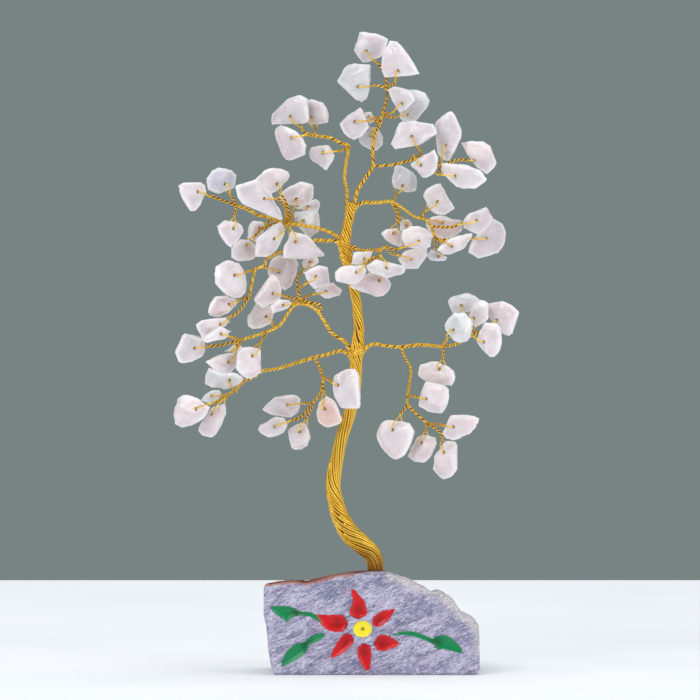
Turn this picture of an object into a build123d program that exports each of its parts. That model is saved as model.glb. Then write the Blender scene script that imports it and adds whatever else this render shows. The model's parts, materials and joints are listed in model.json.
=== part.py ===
from build123d import *
import os
from math import cos, hypot, pi, radians, sin, tan
from typing import NamedTuple

# A gemstone tree: rose quartz chips, each threaded on its own folded wire. The two ends of
# each wire are twisted into a twig, twigs run together into branches, and the branches into
# one trunk, whose foot is glued into a hole drilled in a sawn and carved stone.
# X points right, Y away from the viewer, Z up, in millimetres.

# Stone
stone_width = 64.0
stone_height = 30.0
stone_depth = 34.0
stone_rim = 1.8
stone_roughness = 1.5
stone_wave_length = 21.0

# Carving and paint
gouge_depth = 0.9
paint_thickness = 0.4
eye_radius = 2.5

# Trunk and its socket
tree_rise = 160.0
trunk_bend_radius = 2.9
trunk_radius = 1.75
socket_depth = 12.0
foot_radius = 2.3
glue_gap = 0.5
glue_below_top = 1.2

# Wires
bundle_radius = 0.8
fork_radius = 0.62
twig_radius = 0.46
twig_end_radius = 0.32
wire_radius = 0.22

# Fine wires and holes repeat many times, so their sections have few sides.
rope_strands = 3
twig_sides = 4
loop_sides = 3
hole_sides = 6

# Chips, their holes and the way they swing
chip_thickness = 4.4
hole_radius = 0.48
loop_gap = 0.3
twig_gap = 0.45
layer_gap = 0.2
swing_degrees = 12

# Places are read from the photograph, in its pixels: x to the right, y downward.
# A third number is a depth, counted in layers behind the trunk. One layer holds one chip
# and the wire on both its faces. The view looks down by a few degrees.
view_degrees = 3.4
tree_top_pixel = 30.5
foot_x_pixel = 376
foot_y_pixel = 573
stone_left_pixel = 263
stone_right_pixel = 480.5
stone_bottom_pixel = 674.5

tree_scale = tree_rise / (foot_y_pixel - tree_top_pixel)
stone_x_scale = stone_width / (stone_right_pixel - stone_left_pixel)
stone_z_scale = stone_height / (stone_bottom_pixel - foot_y_pixel)
stone_middle_pixel = (stone_left_pixel + stone_right_pixel) / 2
foot_x = (foot_x_pixel - stone_middle_pixel) * stone_x_scale
layer = chip_thickness + 2 * (wire_radius + loop_gap) + layer_gap

# Rows of the trunk's centre line: x, y, and its radius as a share of trunk_bend_radius
# below the waist and of trunk_radius above it.
trunk_lower_pixels = [
    (374, 560, 0.86), (363, 548, 0.98), (350, 536, 1.0), (341, 521, 0.92), (336, 506, 0.83),
    (333, 490, 0.78), (334, 475, 0.74),
]
trunk_upper_pixels = [
    (337, 460, 1.1), (342, 438, 1.07), (347, 423, 1.05), (351, 410, 1.03), (355, 390, 1.02),
    (356, 368, 1.02), (357, 350, 1.14), (359, 330, 0.9), (357.5, 312, 0.84), (355, 295, 0.86),
    (350, 275, 0.86), (346, 259, 0.9), (345, 243, 0.96), (347, 229, 0.84), (349.5, 215, 0.76),
    (351, 202, 0.7),
]
socket_taper_share = 0.33
trunk_strands = 7
trunk_groove_share = 0.84
trunk_turn_degrees = 16
bundle_groove_share = 0.78
bundle_turn_degrees = 34

# Outline of the stone's front face, as shares of its width from the middle and of its height.
stone_outline_shares = [
    (-0.447, 0.0), (-0.461, 0.075), (-0.477, 0.29), (-0.484, 0.48), (-0.5, 0.63), (-0.498, 0.83),
    (-0.49, 0.89), (-0.376, 0.916), (-0.298, 0.9), (-0.185, 0.96), (-0.046, 1.0), (0.061, 1.0),
    (0.167, 0.93), (0.24, 0.855), (0.272, 0.815), (0.307, 0.818), (0.371, 0.735), (0.412, 0.6),
    (0.47, 0.543), (0.493, 0.48), (0.498, 0.345), (0.5, 0.19), (0.5, 0.07), (0.477, 0.0),
]
# Depth of each section of the stone, and how far its top falls there, as shares.
stone_section_shares = [
    (-0.5, 0.0), (-0.3, 0.004), (-0.1, 0.008), (0.1, 0.015), (0.26, 0.03), (0.4, 0.07), (0.5, 0.12),
]
# The chipped rim runs along these corners of the outline.
rim_first_corner = 11
rim_last_corner = 20
# Corners above this share of the height are on the broken top. The socket's mouth is kept level.
rough_top_share = 0.5
level_top_share = 0.95
# How far the broken surface's waves move on, in degrees, from one section to the next.
section_wave_degrees = 100

# Carved motifs: inner end, tip and width, in pixels of the photograph.
petal_pixels = [
    ((359, 617), (353, 589), 17), ((376, 624), (394, 609), 13), ((376, 636.5), (400, 643.5), 16),
    ((363, 643.5), (368, 669), 14), ((353, 636.5), (331.5, 656.5), 14), ((347, 621), (316, 613.5), 16),
]
leaf_pixels = [
    ((298, 614), (269, 606), 12), ((307, 644.5), (282, 666.5), 13), ((432, 636), (464, 652), 14),
]
stem_pixels = [
    ((290, 611), (320.5, 621.5), 4), ((300, 650), (323, 633), 5), ((401, 631), (440, 639), 4),
]
eye_pixels = (362.6, 628.4)
# A carved leaf shape is widest nearer its inner end, and blunter there than a plain arch.
carving_lean_share = 0.72
carving_fullness_share = 0.8
carving_steps = 7

# Outlines of tumbled chips in a unit box, x right and z up from its middle.
outline_shares = {
    "wedge": [(-0.31, 0.5), (-0.08, 0.47), (0.21, 0.05), (0.5, -0.42), (0.3, -0.45),
              (-0.41, -0.5), (-0.5, -0.23), (-0.47, 0.07)],
    "shield": [(-0.5, 0.19), (-0.32, 0.44), (-0.09, 0.5), (0.5, 0.3), (0.47, -0.09),
               (0.27, -0.3), (0.03, -0.5), (-0.32, -0.4)],
    "heart": [(-0.5, 0.29), (-0.22, 0.5), (0.22, 0.45), (0.5, 0.11), (0.32, -0.18),
              (0.02, -0.5), (-0.18, -0.32), (-0.44, 0.04)],
    "kite": [(-0.5, 0.5), (-0.25, 0.5), (0.2, 0.3), (0.47, 0.05), (0.5, -0.3),
             (0.2, -0.42), (-0.08, -0.5), (-0.22, -0.33)],
    "slab": [(-0.46, 0.29), (-0.2, 0.46), (0.27, 0.5), (0.44, 0.38), (0.5, -0.42),
             (0.4, -0.5), (-0.32, -0.49), (-0.5, 0.02)],
    "bean": [(-0.47, 0.48), (-0.1, 0.5), (0.3, 0.27), (0.5, -0.1), (0.26, -0.46),
             (0.0, -0.5), (-0.3, -0.2), (-0.5, 0.13)],
    "pebble": [(-0.5, 0.1), (-0.3, 0.42), (0.05, 0.5), (0.38, 0.33), (0.5, -0.05),
               (0.33, -0.4), (-0.05, -0.5), (-0.4, -0.34)],
    "tooth": [(-0.5, 0.26), (-0.05, 0.42), (0.22, 0.5), (0.5, 0.14), (0.5, -0.03),
              (0.15, -0.35), (0.0, -0.5), (-0.4, -0.34)],
    "splinter": [(-0.5, 0.33), (-0.19, 0.47), (-0.07, 0.5), (0.23, 0.16), (0.5, -0.4),
                 (0.46, -0.5), (0.04, -0.28), (-0.34, -0.11)],
    "dart": [(-0.5, -0.45), (-0.47, 0.0), (0.1, 0.36), (0.4, 0.5), (0.5, 0.28),
             (0.47, 0.1), (0.26, -0.25), (0.1, -0.5)],
    "moon": [(-0.5, -0.03), (-0.19, 0.19), (0.34, 0.5), (0.5, 0.14), (0.45, -0.1),
             (0.3, -0.36), (0.0, -0.5), (-0.42, -0.16)],
    "block": [(-0.23, 0.5), (0.36, 0.5), (0.5, 0.38), (0.49, -0.03), (0.25, -0.28),
              (-0.19, -0.5), (-0.4, -0.44), (-0.5, -0.19)],
}
front_face_share = 0.66
back_face_share = 0.7
edge_wave_share = 0.1
# Where a loop's legs bend down to the twig, as a share of the way from the hole.
knee_share = 0.6


class Chip(NamedTuple):
    """One quartz chip. Chips with the same node are wedged together in one cluster."""

    node: str
    outline: str
    flip: str
    left: float
    right: float
    top: float
    bottom: float
    hole: tuple
    depth: float
    route: list


class Branch(NamedTuple):
    """One branch: its bundled runs of wire and the chips on its twigs.

    The branch is turned about an upright line at its pivot, so that the tree is as deep as
    it is full. A positive turn takes its right side back and its left side forward.
    """

    name: str
    pivot: float
    turn: float
    runs: list
    chips: list


crown = Branch(
    "crown_branch",
    pivot=351,
    turn=-10,
    runs=[
        [(351.5, 203, 0), (357, 192, 0), (365, 179, 0), (373, 166, 0), (373, 154, 0), (374, 138, 0),
         (379.5, 123, 0), (383.5, 111, 0), (387.5, 95, 0), (387, 86, 0)],
        [(373, 166, 0), (390, 165, 0), (404, 162, 0), (421, 157, 0.15), (431, 158, 0.2), (441, 166, 0.2)],
    ],
    chips=[
        Chip("crown_chip_1", "heart", "", 354, 388, 30.5, 61.5, (367, 50), 0.5,
             [(387, 86, 0), (386, 77), (381.5, 67)]),
        Chip("crown_chip_2", "wedge", "", 381.5, 420, 40, 77, (399, 70), -0.55,
             [(387, 86, 0), (395, 83)]),
        Chip("crown_chip_3", "moon", "z", 337.5, 371, 62.5, 102, (359, 86), 0,
             [(387, 88, 0), (379, 85)]),
        Chip("inner_crown_cluster", "heart", "", 387.5, 415.5, 86, 112, (403, 103), -0.6,
             [(382.5, 114, 0), (391, 113)]),
        Chip("inner_crown_cluster", "block", "", 399.5, 430, 89, 121, (408, 114), 0.5,
             [(382.5, 114, 0), (391, 117)]),
        Chip("crown_chip_4", "block", "", 391, 437.5, 120.5, 149, (413, 136), -0.6,
             [(423, 157, 0.15), (421, 152)]),
        Chip("crown_chip_5", "tooth", "", 435.5, 462, 111, 160.5, (446.5, 145), 0.25,
             [(441, 166, 0.2)]),
        Chip("crown_chip_6", "bean", "", 461.5, 497, 140.5, 174, (475, 160), 0.9,
             [(441, 166, 0.2), (457, 160)]),
        Chip("crown_chip_7", "bean", "", 441.5, 487, 163, 189, (456, 176), -0.3,
             [(441, 166, 0.2), (439, 174)]),
        Chip("inner_crown_cluster", "moon", "", 411, 438.5, 149, 178, (422, 165), -0.9,
             [(421, 157, 0.15), (414, 156)]),
        Chip("inner_crown_cluster", "tooth", "", 339.5, 369, 106.5, 140, (356, 121), -0.45,
             [(379.5, 121, 0), (375, 120)]),
        Chip("inner_crown_cluster", "pebble", "", 362, 375.5, 109, 124, (369, 116), 0.75,
             [(381, 118, 0)]),
        Chip("inner_crown_cluster", "shield", "xz", 359, 383, 126, 150.5, (371, 135), 0.7,
             [(379.5, 122, 0), (379, 125.5)]),
    ],
)

right_upper = Branch(
    "right_upper_branch",
    pivot=350,
    turn=25,
    runs=[
        [(351, 203, 0), (362, 203, 0), (377, 202.5, 0), (391.6, 201.5, 0), (403, 208, 0),
         (415, 216.5, 0.1), (427, 220, 0.2), (433, 230, 0.2), (436, 240, 0.2)],
    ],
    chips=[
        Chip("right_upper_chip_1", "slab", "x", 392.5, 417, 165, 192, (401, 185), 0.6,
             [(391.6, 201.5, 0), (396, 196)]),
        Chip("right_upper_chip_2", "heart", "xz", 423, 455, 183, 215, (436, 201), -0.1,
             [(421, 218, 0.15), (425, 212)]),
        Chip("right_cluster", "shield", "", 426.5, 463, 215, 240.5, (441, 222), 0.9,
             [(415, 216.5, 0.1)]),
        Chip("right_upper_chip_3", "moon", "", 463.5, 494, 206.5, 234, (475, 220), -0.1,
             [(431, 226, 0.2), (450, 227, 0.15)]),
        Chip("right_upper_chip_4", "block", "", 468, 507, 217.7, 258, (485, 238), 0.95,
             [(436, 240, 0.2), (455, 239, 0.25)]),
        Chip("right_cluster", "dart", "", 437, 472.5, 233, 254.5, (450, 246), -0.5,
             [(435, 237, 0.2)]),
        Chip("right_cluster", "pebble", "", 430, 449, 249.5, 262, (438, 256), 0.75,
             [(436, 240, 0.2)]),
        Chip("right_cluster", "pebble", "", 400.7, 413.5, 218, 231, (406, 225), 1.45,
             [(396.5, 205, 0), (399, 215, 0.7)]),
        Chip("right_cluster", "bean", "", 382, 404, 228, 247, (392, 233), 0.45,
             [(391.6, 201.5, 0), (397, 212), (398, 221)]),
    ],
)

right_inner = Branch(
    "right_inner_branch",
    pivot=350,
    turn=25,
    runs=[
        [(345.5, 244, 0), (354, 248, -0.2), (361, 251, -0.3), (370, 250.5, -0.3), (379, 250, -0.2),
         (386, 247, -0.1)],
        [(379, 250, -0.2), (381, 257, -0.9)],
    ],
    chips=[
        Chip("right_cluster", "pebble", "", 401.5, 433, 226, 249, (417, 241), -0.55,
             [(386, 247, -0.1), (397, 250, -0.35)]),
        Chip("right_cluster", "dart", "", 399, 428, 247, 269, (410, 259), 0.45,
             [(386, 247, -0.1), (391, 253)]),
        Chip("centre_cluster", "dart", "", 351, 374, 251.5, 266, (363, 259), -1.0,
             [(381, 257, -0.9)]),
        Chip("centre_cluster", "shield", "", 335, 365, 265.5, 285, (354, 273), -2.0,
             [(381, 257, -0.9), (376, 258, -1.5), (365, 264, -1.75)]),
        Chip("centre_cluster", "shield", "", 367, 405.5, 260, 279, (384, 268), -2.1,
             [(381, 257, -0.9)]),
        Chip("centre_cluster", "pebble", "", 350, 391.5, 273, 297.5, (377, 281), -1.0,
             [(381, 257, -0.9)]),
    ],
)

left_top = Branch(
    "left_top_branch",
    pivot=351,
    turn=-30,
    runs=[
        [(351, 203, 0), (347, 190, 0), (344.5, 178, 0), (346.5, 160.5, 0), (348.5, 146, 0),
         (341.5, 143, 0), (329, 137, 0), (315, 135.5, 0)],
    ],
    chips=[
        Chip("left_top_chip_1", "wedge", "x", 271, 309, 94, 123.5, (293, 115), 0,
             [(315, 135.5, 0), (304.5, 131.5)]),
        Chip("left_top_chip_2", "slab", "", 307, 328, 98, 123.5, (314, 116), 1.0,
             [(315, 135.5, 0)]),
        Chip("left_top_chip_3", "kite", "", 274, 305.5, 124.5, 160, (294, 137), -0.75,
             [(315, 135.5, 0), (308, 134)]),
        Chip("left_top_chip_4", "heart", "", 309.5, 334, 144.5, 170, (325, 152), 0,
             [(348.5, 146, 0), (343, 150)]),
    ],
)

left_upper = Branch(
    "left_upper_branch",
    pivot=349,
    turn=22,
    runs=[
        [(346, 239, 0), (337, 236.5, 0), (320, 229, 0), (304, 226, 0), (288, 224, 0.1),
         (270.5, 218, 0.15), (258, 215.5, 0), (248, 210, 0), (236.5, 206, 0)],
    ],
    chips=[
        Chip("left_upper_chip_1", "heart", "", 178.5, 205, 182.7, 212, (196, 192), 0,
             [(236.5, 206, 0), (220, 200)]),
        Chip("left_upper_chip_2", "pebble", "", 206, 235.5, 168, 194.5, (223, 184), -0.1,
             [(236.5, 206, 0)]),
        Chip("left_upper_chip_3", "heart", "", 217.5, 242.5, 221, 249, (231, 229), -0.35,
             [(236.5, 206, 0)]),
        Chip("left_cluster", "shield", "z", 231, 259.5, 240, 262, (246, 245), 0.7,
             [(281, 221.5, 0.15), (262, 229, 0.65)]),
        Chip("left_cluster", "slab", "", 247, 264, 221, 245, (257, 228), 1.75,
             [(281, 221.5, 0.15), (272, 220, 1.4)]),
        Chip("left_cluster", "dart", "", 255, 284, 222, 258, (272, 239), -0.4,
             [(288, 224, 0.1)]),
        Chip("left_cluster", "splinter", "", 235.5, 283, 180, 221, (262, 199), -1.45,
             [(286, 223, 0.1), (285, 208, -1.2), (278, 199, -1.45)]),
        Chip("left_cluster", "heart", "x", 255, 289, 168, 194, (275, 184), -0.4,
             [(288, 224, 0.1), (287, 206, -0.4)]),
        Chip("left_cluster", "wedge", "x", 277, 314, 181.5, 206, (294, 199), 0.65,
             [(288, 224, 0.1), (291, 214)]),
        Chip("left_cluster", "wedge", "x", 293, 321, 197, 211, (307, 206), 1.75,
             [(288, 224, 0.1), (291, 218, 1.4)]),
        Chip("left_cluster", "heart", "", 293.5, 320, 211, 237.5, (301, 221), 0.75,
             [(288, 224, 0.1)]),
        Chip("left_cluster", "wedge", "", 283, 324, 232, 259.5, (294, 242), -0.45,
             [(288, 224, 0.1)]),
    ],
)

left_middle = Branch(
    "left_middle_branch",
    pivot=349,
    turn=22,
    runs=[
        [(346, 243, 0), (337, 242, 0), (325, 241, 0.2), (312, 241, 0.35), (290, 248, 0.4),
         (267, 259, 0.35), (264, 266, 0.3), (255, 270, 0.3), (252.5, 279, 0.2), (250.5, 288.5, 0.2),
         (249, 297.5, 0.2)],
    ],
    chips=[
        Chip("left_middle_chip_1", "bean", "", 214, 246.5, 261, 299, (232, 276), -0.35,
             [(255, 270, 0.3)]),
        Chip("left_cluster", "heart", "", 267.5, 298, 255.5, 291, (277, 272), 1.05,
             [(262, 267, 0.3)]),
        Chip("left_lower_cluster", "block", "", 207, 236, 296.5, 318, (227, 305), 0.7,
             [(249, 297.5, 0.2)]),
        Chip("left_lower_cluster", "kite", "x", 194, 229, 318.5, 340, (218, 325), -0.2,
             [(249, 297.5, 0.2), (238, 313, -0.15)]),
    ],
)

left_lower = Branch(
    "left_lower_branch",
    pivot=349,
    turn=22,
    runs=[
        [(357, 348, 0), (345, 343, 0), (332, 334, 0), (323, 320, 0), (316.5, 311, 0),
         (307, 305.5, 0), (295.5, 305.5, 0), (288, 313.5, 0), (282.5, 322.5, 0), (275.5, 329, 0),
         (257, 336, 0), (240.5, 341, 0)],
        [(318, 313, 0), (320, 306, 0.05), (301.5, 301, 0.1), (297.5, 291, 0.1)],
    ],
    chips=[
        Chip("left_inner_cluster", "pebble", "", 247.5, 273, 304, 330, (264, 317), 1.05,
             [(275.5, 329, 0)]),
        Chip("left_lower_chip_1", "slab", "z", 235.5, 261, 348, 380, (250, 357), -0.9,
             [(266, 332.5, 0), (261, 343)]),
        Chip("left_lower_cluster", "dart", "", 201.5, 231, 328, 344.5, (219, 335), -1.25,
             [(240.5, 341, 0)]),
        Chip("left_lower_cluster", "pebble", "", 224, 241.5, 346, 359, (232, 352), 1.15,
             [(240.5, 341, 0)]),
        Chip("left_lower_cluster", "moon", "", 204.5, 240.5, 353, 375.5, (227, 363), 0.1,
             [(240.5, 341, 0)]),
        Chip("left_lower_chip_2", "shield", "", 175, 204.5, 334.5, 364.5, (192, 349), 0.8,
             [(240.5, 341, 0), (221, 346)]),
        Chip("left_inner_cluster", "pebble", "", 301.5, 318, 254.5, 269, (309, 262), 0.75,
             [(297.5, 291, 0.1), (297, 279, 0.4)]),
        Chip("left_inner_cluster", "tooth", "", 303, 331, 266, 290, (314, 277), -0.9,
             [(297.5, 291, 0.1)]),
        Chip("left_inner_cluster", "moon", "", 315.5, 342, 282.5, 299, (325, 292), 0.2,
             [(301.5, 301, 0.1), (309, 296)]),
        Chip("left_inner_cluster", "dart", "", 254, 281, 274.5, 309, (271, 294), 0,
             [(301.5, 301, 0.1)]),
        Chip("left_inner_cluster", "kite", "x", 270, 291.5, 300, 315.5, (282, 306), -1.05,
             [(301.5, 301, 0.1)]),
    ],
)

left_low = Branch(
    "left_low_branch",
    pivot=350,
    turn=-22,
    runs=[
        [(357, 351, 0), (342, 352, 0), (327, 355.5, 0), (312.5, 359, 0), (299, 363, 0),
         (276, 370, 0), (262, 372, 0), (254, 378, 0.1), (243.5, 382.5, 0.15), (235, 391, 0.2),
         (227, 396, 0.2)],
        [(314, 359, 0), (319, 367.5, -0.3), (323, 381, -0.6), (320, 395, -0.4), (313, 404, -0.2)],
    ],
    chips=[
        Chip("left_low_chip_1", "slab", "", 333.5, 360, 370, 410.5, (340, 386), -2.0,
             [(322, 378, -0.55)]),
        Chip("left_low_chip_2", "wedge", "", 316, 342.5, 397.5, 429.5, (326, 410), -0.95,
             [(322.5, 383, -0.6)]),
        Chip("left_low_chip_3", "moon", "", 262.5, 300.5, 396, 418.5, (289, 406), 0.35,
             [(313, 404, -0.2)]),
        Chip("left_low_chip_4", "pebble", "", 257.5, 286.5, 418, 439, (276, 428), -0.65,
             [(313, 404, -0.2), (301, 418)]),
        Chip("left_low_chip_5", "slab", "", 288, 309.5, 424, 451.5, (301, 433), 0.2,
             [(313, 404, -0.2), (309, 414)]),
        Chip("left_low_cluster", "shield", "x", 204, 242.5, 369, 390.5, (230, 381), 1.15,
             [(235, 391, 0.2)]),
        Chip("left_low_cluster", "pebble", "", 199.5, 221, 391, 405, (212, 397), 0.95,
             [(227, 396, 0.2)]),
        Chip("left_low_chip_6", "moon", "x", 172.5, 209, 396, 429, (196, 410), -1.05,
             [(227, 396, 0.2), (217, 402, -0.8)]),
        Chip("left_low_cluster", "dart", "", 197.5, 225, 404.5, 439, (213, 415), -0.05,
             [(227, 396, 0.2)]),
    ],
)

right_low = Branch(
    "right_low_branch",
    pivot=357,
    turn=-25,
    runs=[
        [(358, 346, 0), (372, 345.5, 0), (387, 347, 0), (401.5, 348, 0), (421, 346, 0),
         (442.5, 347.6, 0), (457, 345, 0), (472, 336.5, 0)],
        [(401.5, 348, 0), (404.5, 357, 0), (411, 370, 0), (410, 383, 0), (408, 397, 0),
         (408, 406, 0), (418, 416.5, 0), (427.5, 425, 0)],
    ],
    chips=[
        Chip("right_low_chip_1", "block", "", 449, 480, 294, 315, (464, 306), 1.1,
             [(472, 336.5, 0), (468, 326, 0.9)]),
        Chip("right_low_chip_2", "block", "", 469.5, 489, 301, 328, (476, 319), 0.1,
             [(472, 336.5, 0)]),
        Chip("right_low_chip_3", "pebble", "", 444.5, 472.5, 313.5, 344, (454, 331), -1.0,
             [(442.5, 347.6, 0)]),
        Chip("right_low_chip_4", "bean", "", 488, 519, 302, 337, (500, 321), 1.1,
             [(472, 336.5, 0), (483, 331, 0.5)]),
        Chip("right_low_chip_5", "moon", "z", 477.5, 502.5, 323.5, 358.5, (487, 343), -0.9,
             [(472, 336.5, 0)]),
        Chip("right_low_chip_6", "shield", "z", 418.5, 455.5, 362.5, 387, (441, 370), 0.35,
             [(442.5, 347.6, 0), (444, 355)]),
        Chip("right_low_chip_7", "shield", "", 419, 450.5, 383, 415, (429, 400), -0.65,
             [(408, 397, 0)]),
        Chip("right_low_chip_8", "heart", "", 376.5, 414.5, 421.5, 461.5, (395, 431), -0.55,
             [(408, 406, 0), (401, 416)]),
        Chip("right_low_chip_9", "block", "", 409, 437, 436.5, 464.5, (424, 444), 0.5,
             [(427.5, 425, 0)]),
        Chip("right_low_chip_10", "block", "", 443, 478.5, 416.5, 442, (456, 428), -0.55,
             [(427.5, 425, 0)]),
        Chip("right_low_chip_11", "block", "", 433.5, 457.5, 442.5, 481.5, (447, 454), 0.5,
             [(427.5, 425, 0), (440, 433, 0.3)]),
    ],
)

branches = [crown, right_upper, right_inner, left_top, left_upper, left_middle, left_lower,
            left_low, right_low]


def place(x, y, depth=0, branch=None):
    """A point of the tree, from pixels of the photograph and a depth in layers.

    On a branch it is given before the branch is turned, at the place that the turn brings to
    its pixel. What lies further back is placed lower, by as much as the view from above shows
    it higher.
    """
    height = stone_height + (foot_y_pixel - y) * tree_scale
    if branch is None:
        return Vector(foot_x + (x - foot_x_pixel) * tree_scale, depth * layer, height)
    pivot_x = foot_x + (branch.pivot - foot_x_pixel) * tree_scale
    turn = radians(branch.turn)
    across = ((x - branch.pivot) * tree_scale + depth * layer * sin(turn)) / cos(turn)
    back = across * sin(turn) + depth * layer * cos(turn)
    return Vector(pivot_x + across, depth * layer, height - back * tan(radians(view_degrees)))


def turned(branch, shape):
    """A shape of a branch, turned about the branch's pivot."""
    pivot_x = foot_x + (branch.pivot - foot_x_pixel) * tree_scale
    return Pos(pivot_x, 0, 0) * Rotation(0, 0, branch.turn) * Pos(-pivot_x, 0, 0) * shape


def stone_place(x, y):
    """A point on the stone's front face, from pixels of the photograph."""
    across = (x - stone_middle_pixel) * stone_x_scale
    return Vector(across, -stone_depth / 2, (stone_bottom_pixel - y) * stone_z_scale)


def skin(rings):
    """A closed solid through rings of equally many corners, with flat facets."""
    count = len(rings[0])
    facets = [Face(Wire.make_polygon(rings[0][::-1])), Face(Wire.make_polygon(rings[-1]))]
    for low, high in zip(rings, rings[1:]):
        for corner in range(count):
            after = (corner + 1) % count
            facets.append(Face(Wire.make_polygon([low[corner], low[after], high[after]])))
            facets.append(Face(Wire.make_polygon([low[corner], high[after], high[corner]])))
    return Solid(Shell(facets))


def star(points, groove):
    """Corners of a fluted unit section: ridges at radius 1 and grooves between them."""
    corners = []
    for corner in range(2 * points):
        reach = 1 if corner % 2 == 0 else groove
        angle = pi * corner / points
        corners.append((reach * cos(angle), reach * sin(angle)))
    return corners


def round_section(sides):
    """Corners of a round unit section."""
    return [(cos(2 * pi * side / sides), sin(2 * pi * side / sides)) for side in range(sides)]


def tube_rings(path, radii, section, turn=0):
    """Rings along a path, mitred at its corners. turn twists each ring by so many degrees."""
    first = (path[1] - path[0]).normalized()
    across = Vector(0, 1, 0) if abs(first.Y) < abs(first.X) + abs(first.Z) else Vector(1, 0, 0)
    side = first.cross(across).normalized()
    over = side.cross(first).normalized()
    offsets = [side * u * -1 + over * v for u, v in section]
    rings = [[path[0] + offset * radii[0] for offset in offsets]]
    for index in range(1, len(path)):
        before = (path[index] - path[index - 1]).normalized()
        last = index == len(path) - 1
        after = before if last else (path[index + 1] - path[index]).normalized()
        normal = (before + after).normalized()
        offsets = [offset.rotate(Axis((0, 0, 0), before), turn) for offset in offsets]
        mitred = [offset - before * (offset.dot(normal) / before.dot(normal)) for offset in offsets]
        rings.append([path[index] + offset * radii[index] for offset in mitred])
        offsets = [offset - after * offset.dot(after) for offset in mitred]
    return rings


def tube(path, radii, section, turn=0):
    return skin(tube_rings(path, radii, section, turn))


def chip_outline(branch, chip):
    """Corners of a chip's outline round its own hole, as (x, z) pairs."""
    hole = place(*chip.hole, chip.depth, branch)
    corners = []
    for across, up in outline_shares[chip.outline]:
        if "x" in chip.flip:
            across = -across
        if "z" in chip.flip:
            up = -up
        x = (chip.left + chip.right) / 2 + across * (chip.right - chip.left)
        y = (chip.top + chip.bottom) / 2 - up * (chip.bottom - chip.top)
        corner = place(x, y, chip.depth, branch)
        corners.append((corner.X - hole.X, corner.Z - hole.Z))
    return corners


def edge_distance(corners, across, up):
    """How far the outline's edge lies from the hole, along a direction."""
    reach = 0
    for (x0, z0), (x1, z1) in zip(corners, corners[1:] + corners[:1]):
        ground = across * (z1 - z0) - up * (x1 - x0)
        if ground == 0:
            continue
        along = (x0 * (z1 - z0) - z0 * (x1 - x0)) / ground
        share = (x0 * up - z0 * across) / ground
        if along > 0 and 0 <= share <= 1:
            reach = max(reach, along)
    return reach


def chip_solid(branch, chip):
    """A faceted chip with its wire hole drilled from face to face."""
    corners = chip_outline(branch, chip)
    hole = place(*chip.hole, chip.depth, branch)
    middle_x = sum(x for x, z in corners) / len(corners)
    middle_z = sum(z for x, z in corners) / len(corners)
    half = chip_thickness / 2
    points = []
    for index, (x, z) in enumerate(corners):
        front = index % 2 == 0
        wave = edge_wave_share * chip_thickness * (1 if front else -1)
        points.append((x, wave, z))
        share = front_face_share if front else back_face_share
        face_x = middle_x + share * (x - middle_x)
        face_z = middle_z + share * (z - middle_z)
        points.append((face_x, -half if front else half, face_z))
    rim = [(x * hole_radius, -chip_thickness, z * hole_radius) for x, z in round_section(hole_sides)]
    bore = Solid.extrude(Face(Wire.make_polygon(rim)), Vector(0, 2 * chip_thickness, 0))
    drilled = ConvexPolyhedron(points) - bore
    return turned(branch, Pos(hole.X, hole.Y, hole.Z) * drilled).solid()


def twig_end(branch, chip):
    """Where the twig stops beside the chip, clear of the chip as it swings."""
    corners = chip_outline(branch, chip)
    hole = place(*chip.hole, chip.depth, branch)
    start = place(chip.route[-1][0], chip.route[-1][1], chip.depth, branch)
    length = hypot(start.X - hole.X, start.Z - hole.Z)
    across = (start.X - hole.X) / length
    up = (start.Z - hole.Z) / length
    reach = 0
    for degrees in (-swing_degrees, -swing_degrees / 2, 0, swing_degrees / 2, swing_degrees):
        turned_x = across * cos(radians(degrees)) - up * sin(radians(degrees))
        turned_z = across * sin(radians(degrees)) + up * cos(radians(degrees))
        reach = max(reach, edge_distance(corners, turned_x, turned_z))
    reach += twig_gap + twig_end_radius
    return Vector(hole.X + across * reach, hole.Y, hole.Z + up * reach)


def loop_path(branch, chip):
    """Corners of the closed wire loop: the twig's end, and both faces of the chip's hole."""
    hole = place(*chip.hole, chip.depth, branch)
    end = twig_end(branch, chip)
    lift = Vector(0, chip_thickness / 2 + loop_gap + wire_radius, 0)
    knee = hole + (end - hole) * knee_share
    return [end, knee - lift, hole - lift, hole + lift, knee + lift]


def loop_solid(branch, chip):
    """The wire from the twig's end through the chip's hole and back, a closed loop."""
    path = loop_path(branch, chip)
    path = path + path[:2]
    rings = tube_rings(path, [wire_radius] * len(path), round_section(loop_sides))
    rings = rings[1:-1]
    facets = []
    for low, high in zip(rings, rings[1:] + rings[:1]):
        for corner in range(loop_sides):
            after = (corner + 1) % loop_sides
            facets.append(Face(Wire.make_polygon([low[corner], low[after], high[after]])))
            facets.append(Face(Wire.make_polygon([low[corner], high[after], high[corner]])))
    return Solid(Shell(facets))


def route_points(branch, chip, end):
    """The twig's path from its branch to the chip. Depths not given are spread evenly."""
    stops = [(point[0], point[1]) for point in chip.route]
    depths = {index: point[2] for index, point in enumerate(chip.route) if len(point) == 3}
    depths[len(stops)] = chip.depth
    flat = [place(*stop, 0, branch) for stop in stops] + [end]
    lengths = [0]
    for low, high in zip(flat, flat[1:]):
        lengths.append(lengths[-1] + hypot(high.X - low.X, high.Z - low.Z))
    points = []
    for index, stop in enumerate(stops):
        before = max(known for known in depths if known <= index)
        after = min(known for known in depths if known >= index)
        depth = depths[before]
        if after > before:
            share = (lengths[index] - lengths[before]) / (lengths[after] - lengths[before])
            depth += share * (depths[after] - depths[before])
        points.append(place(*stop, depth, branch))
    return points + [end]


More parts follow.
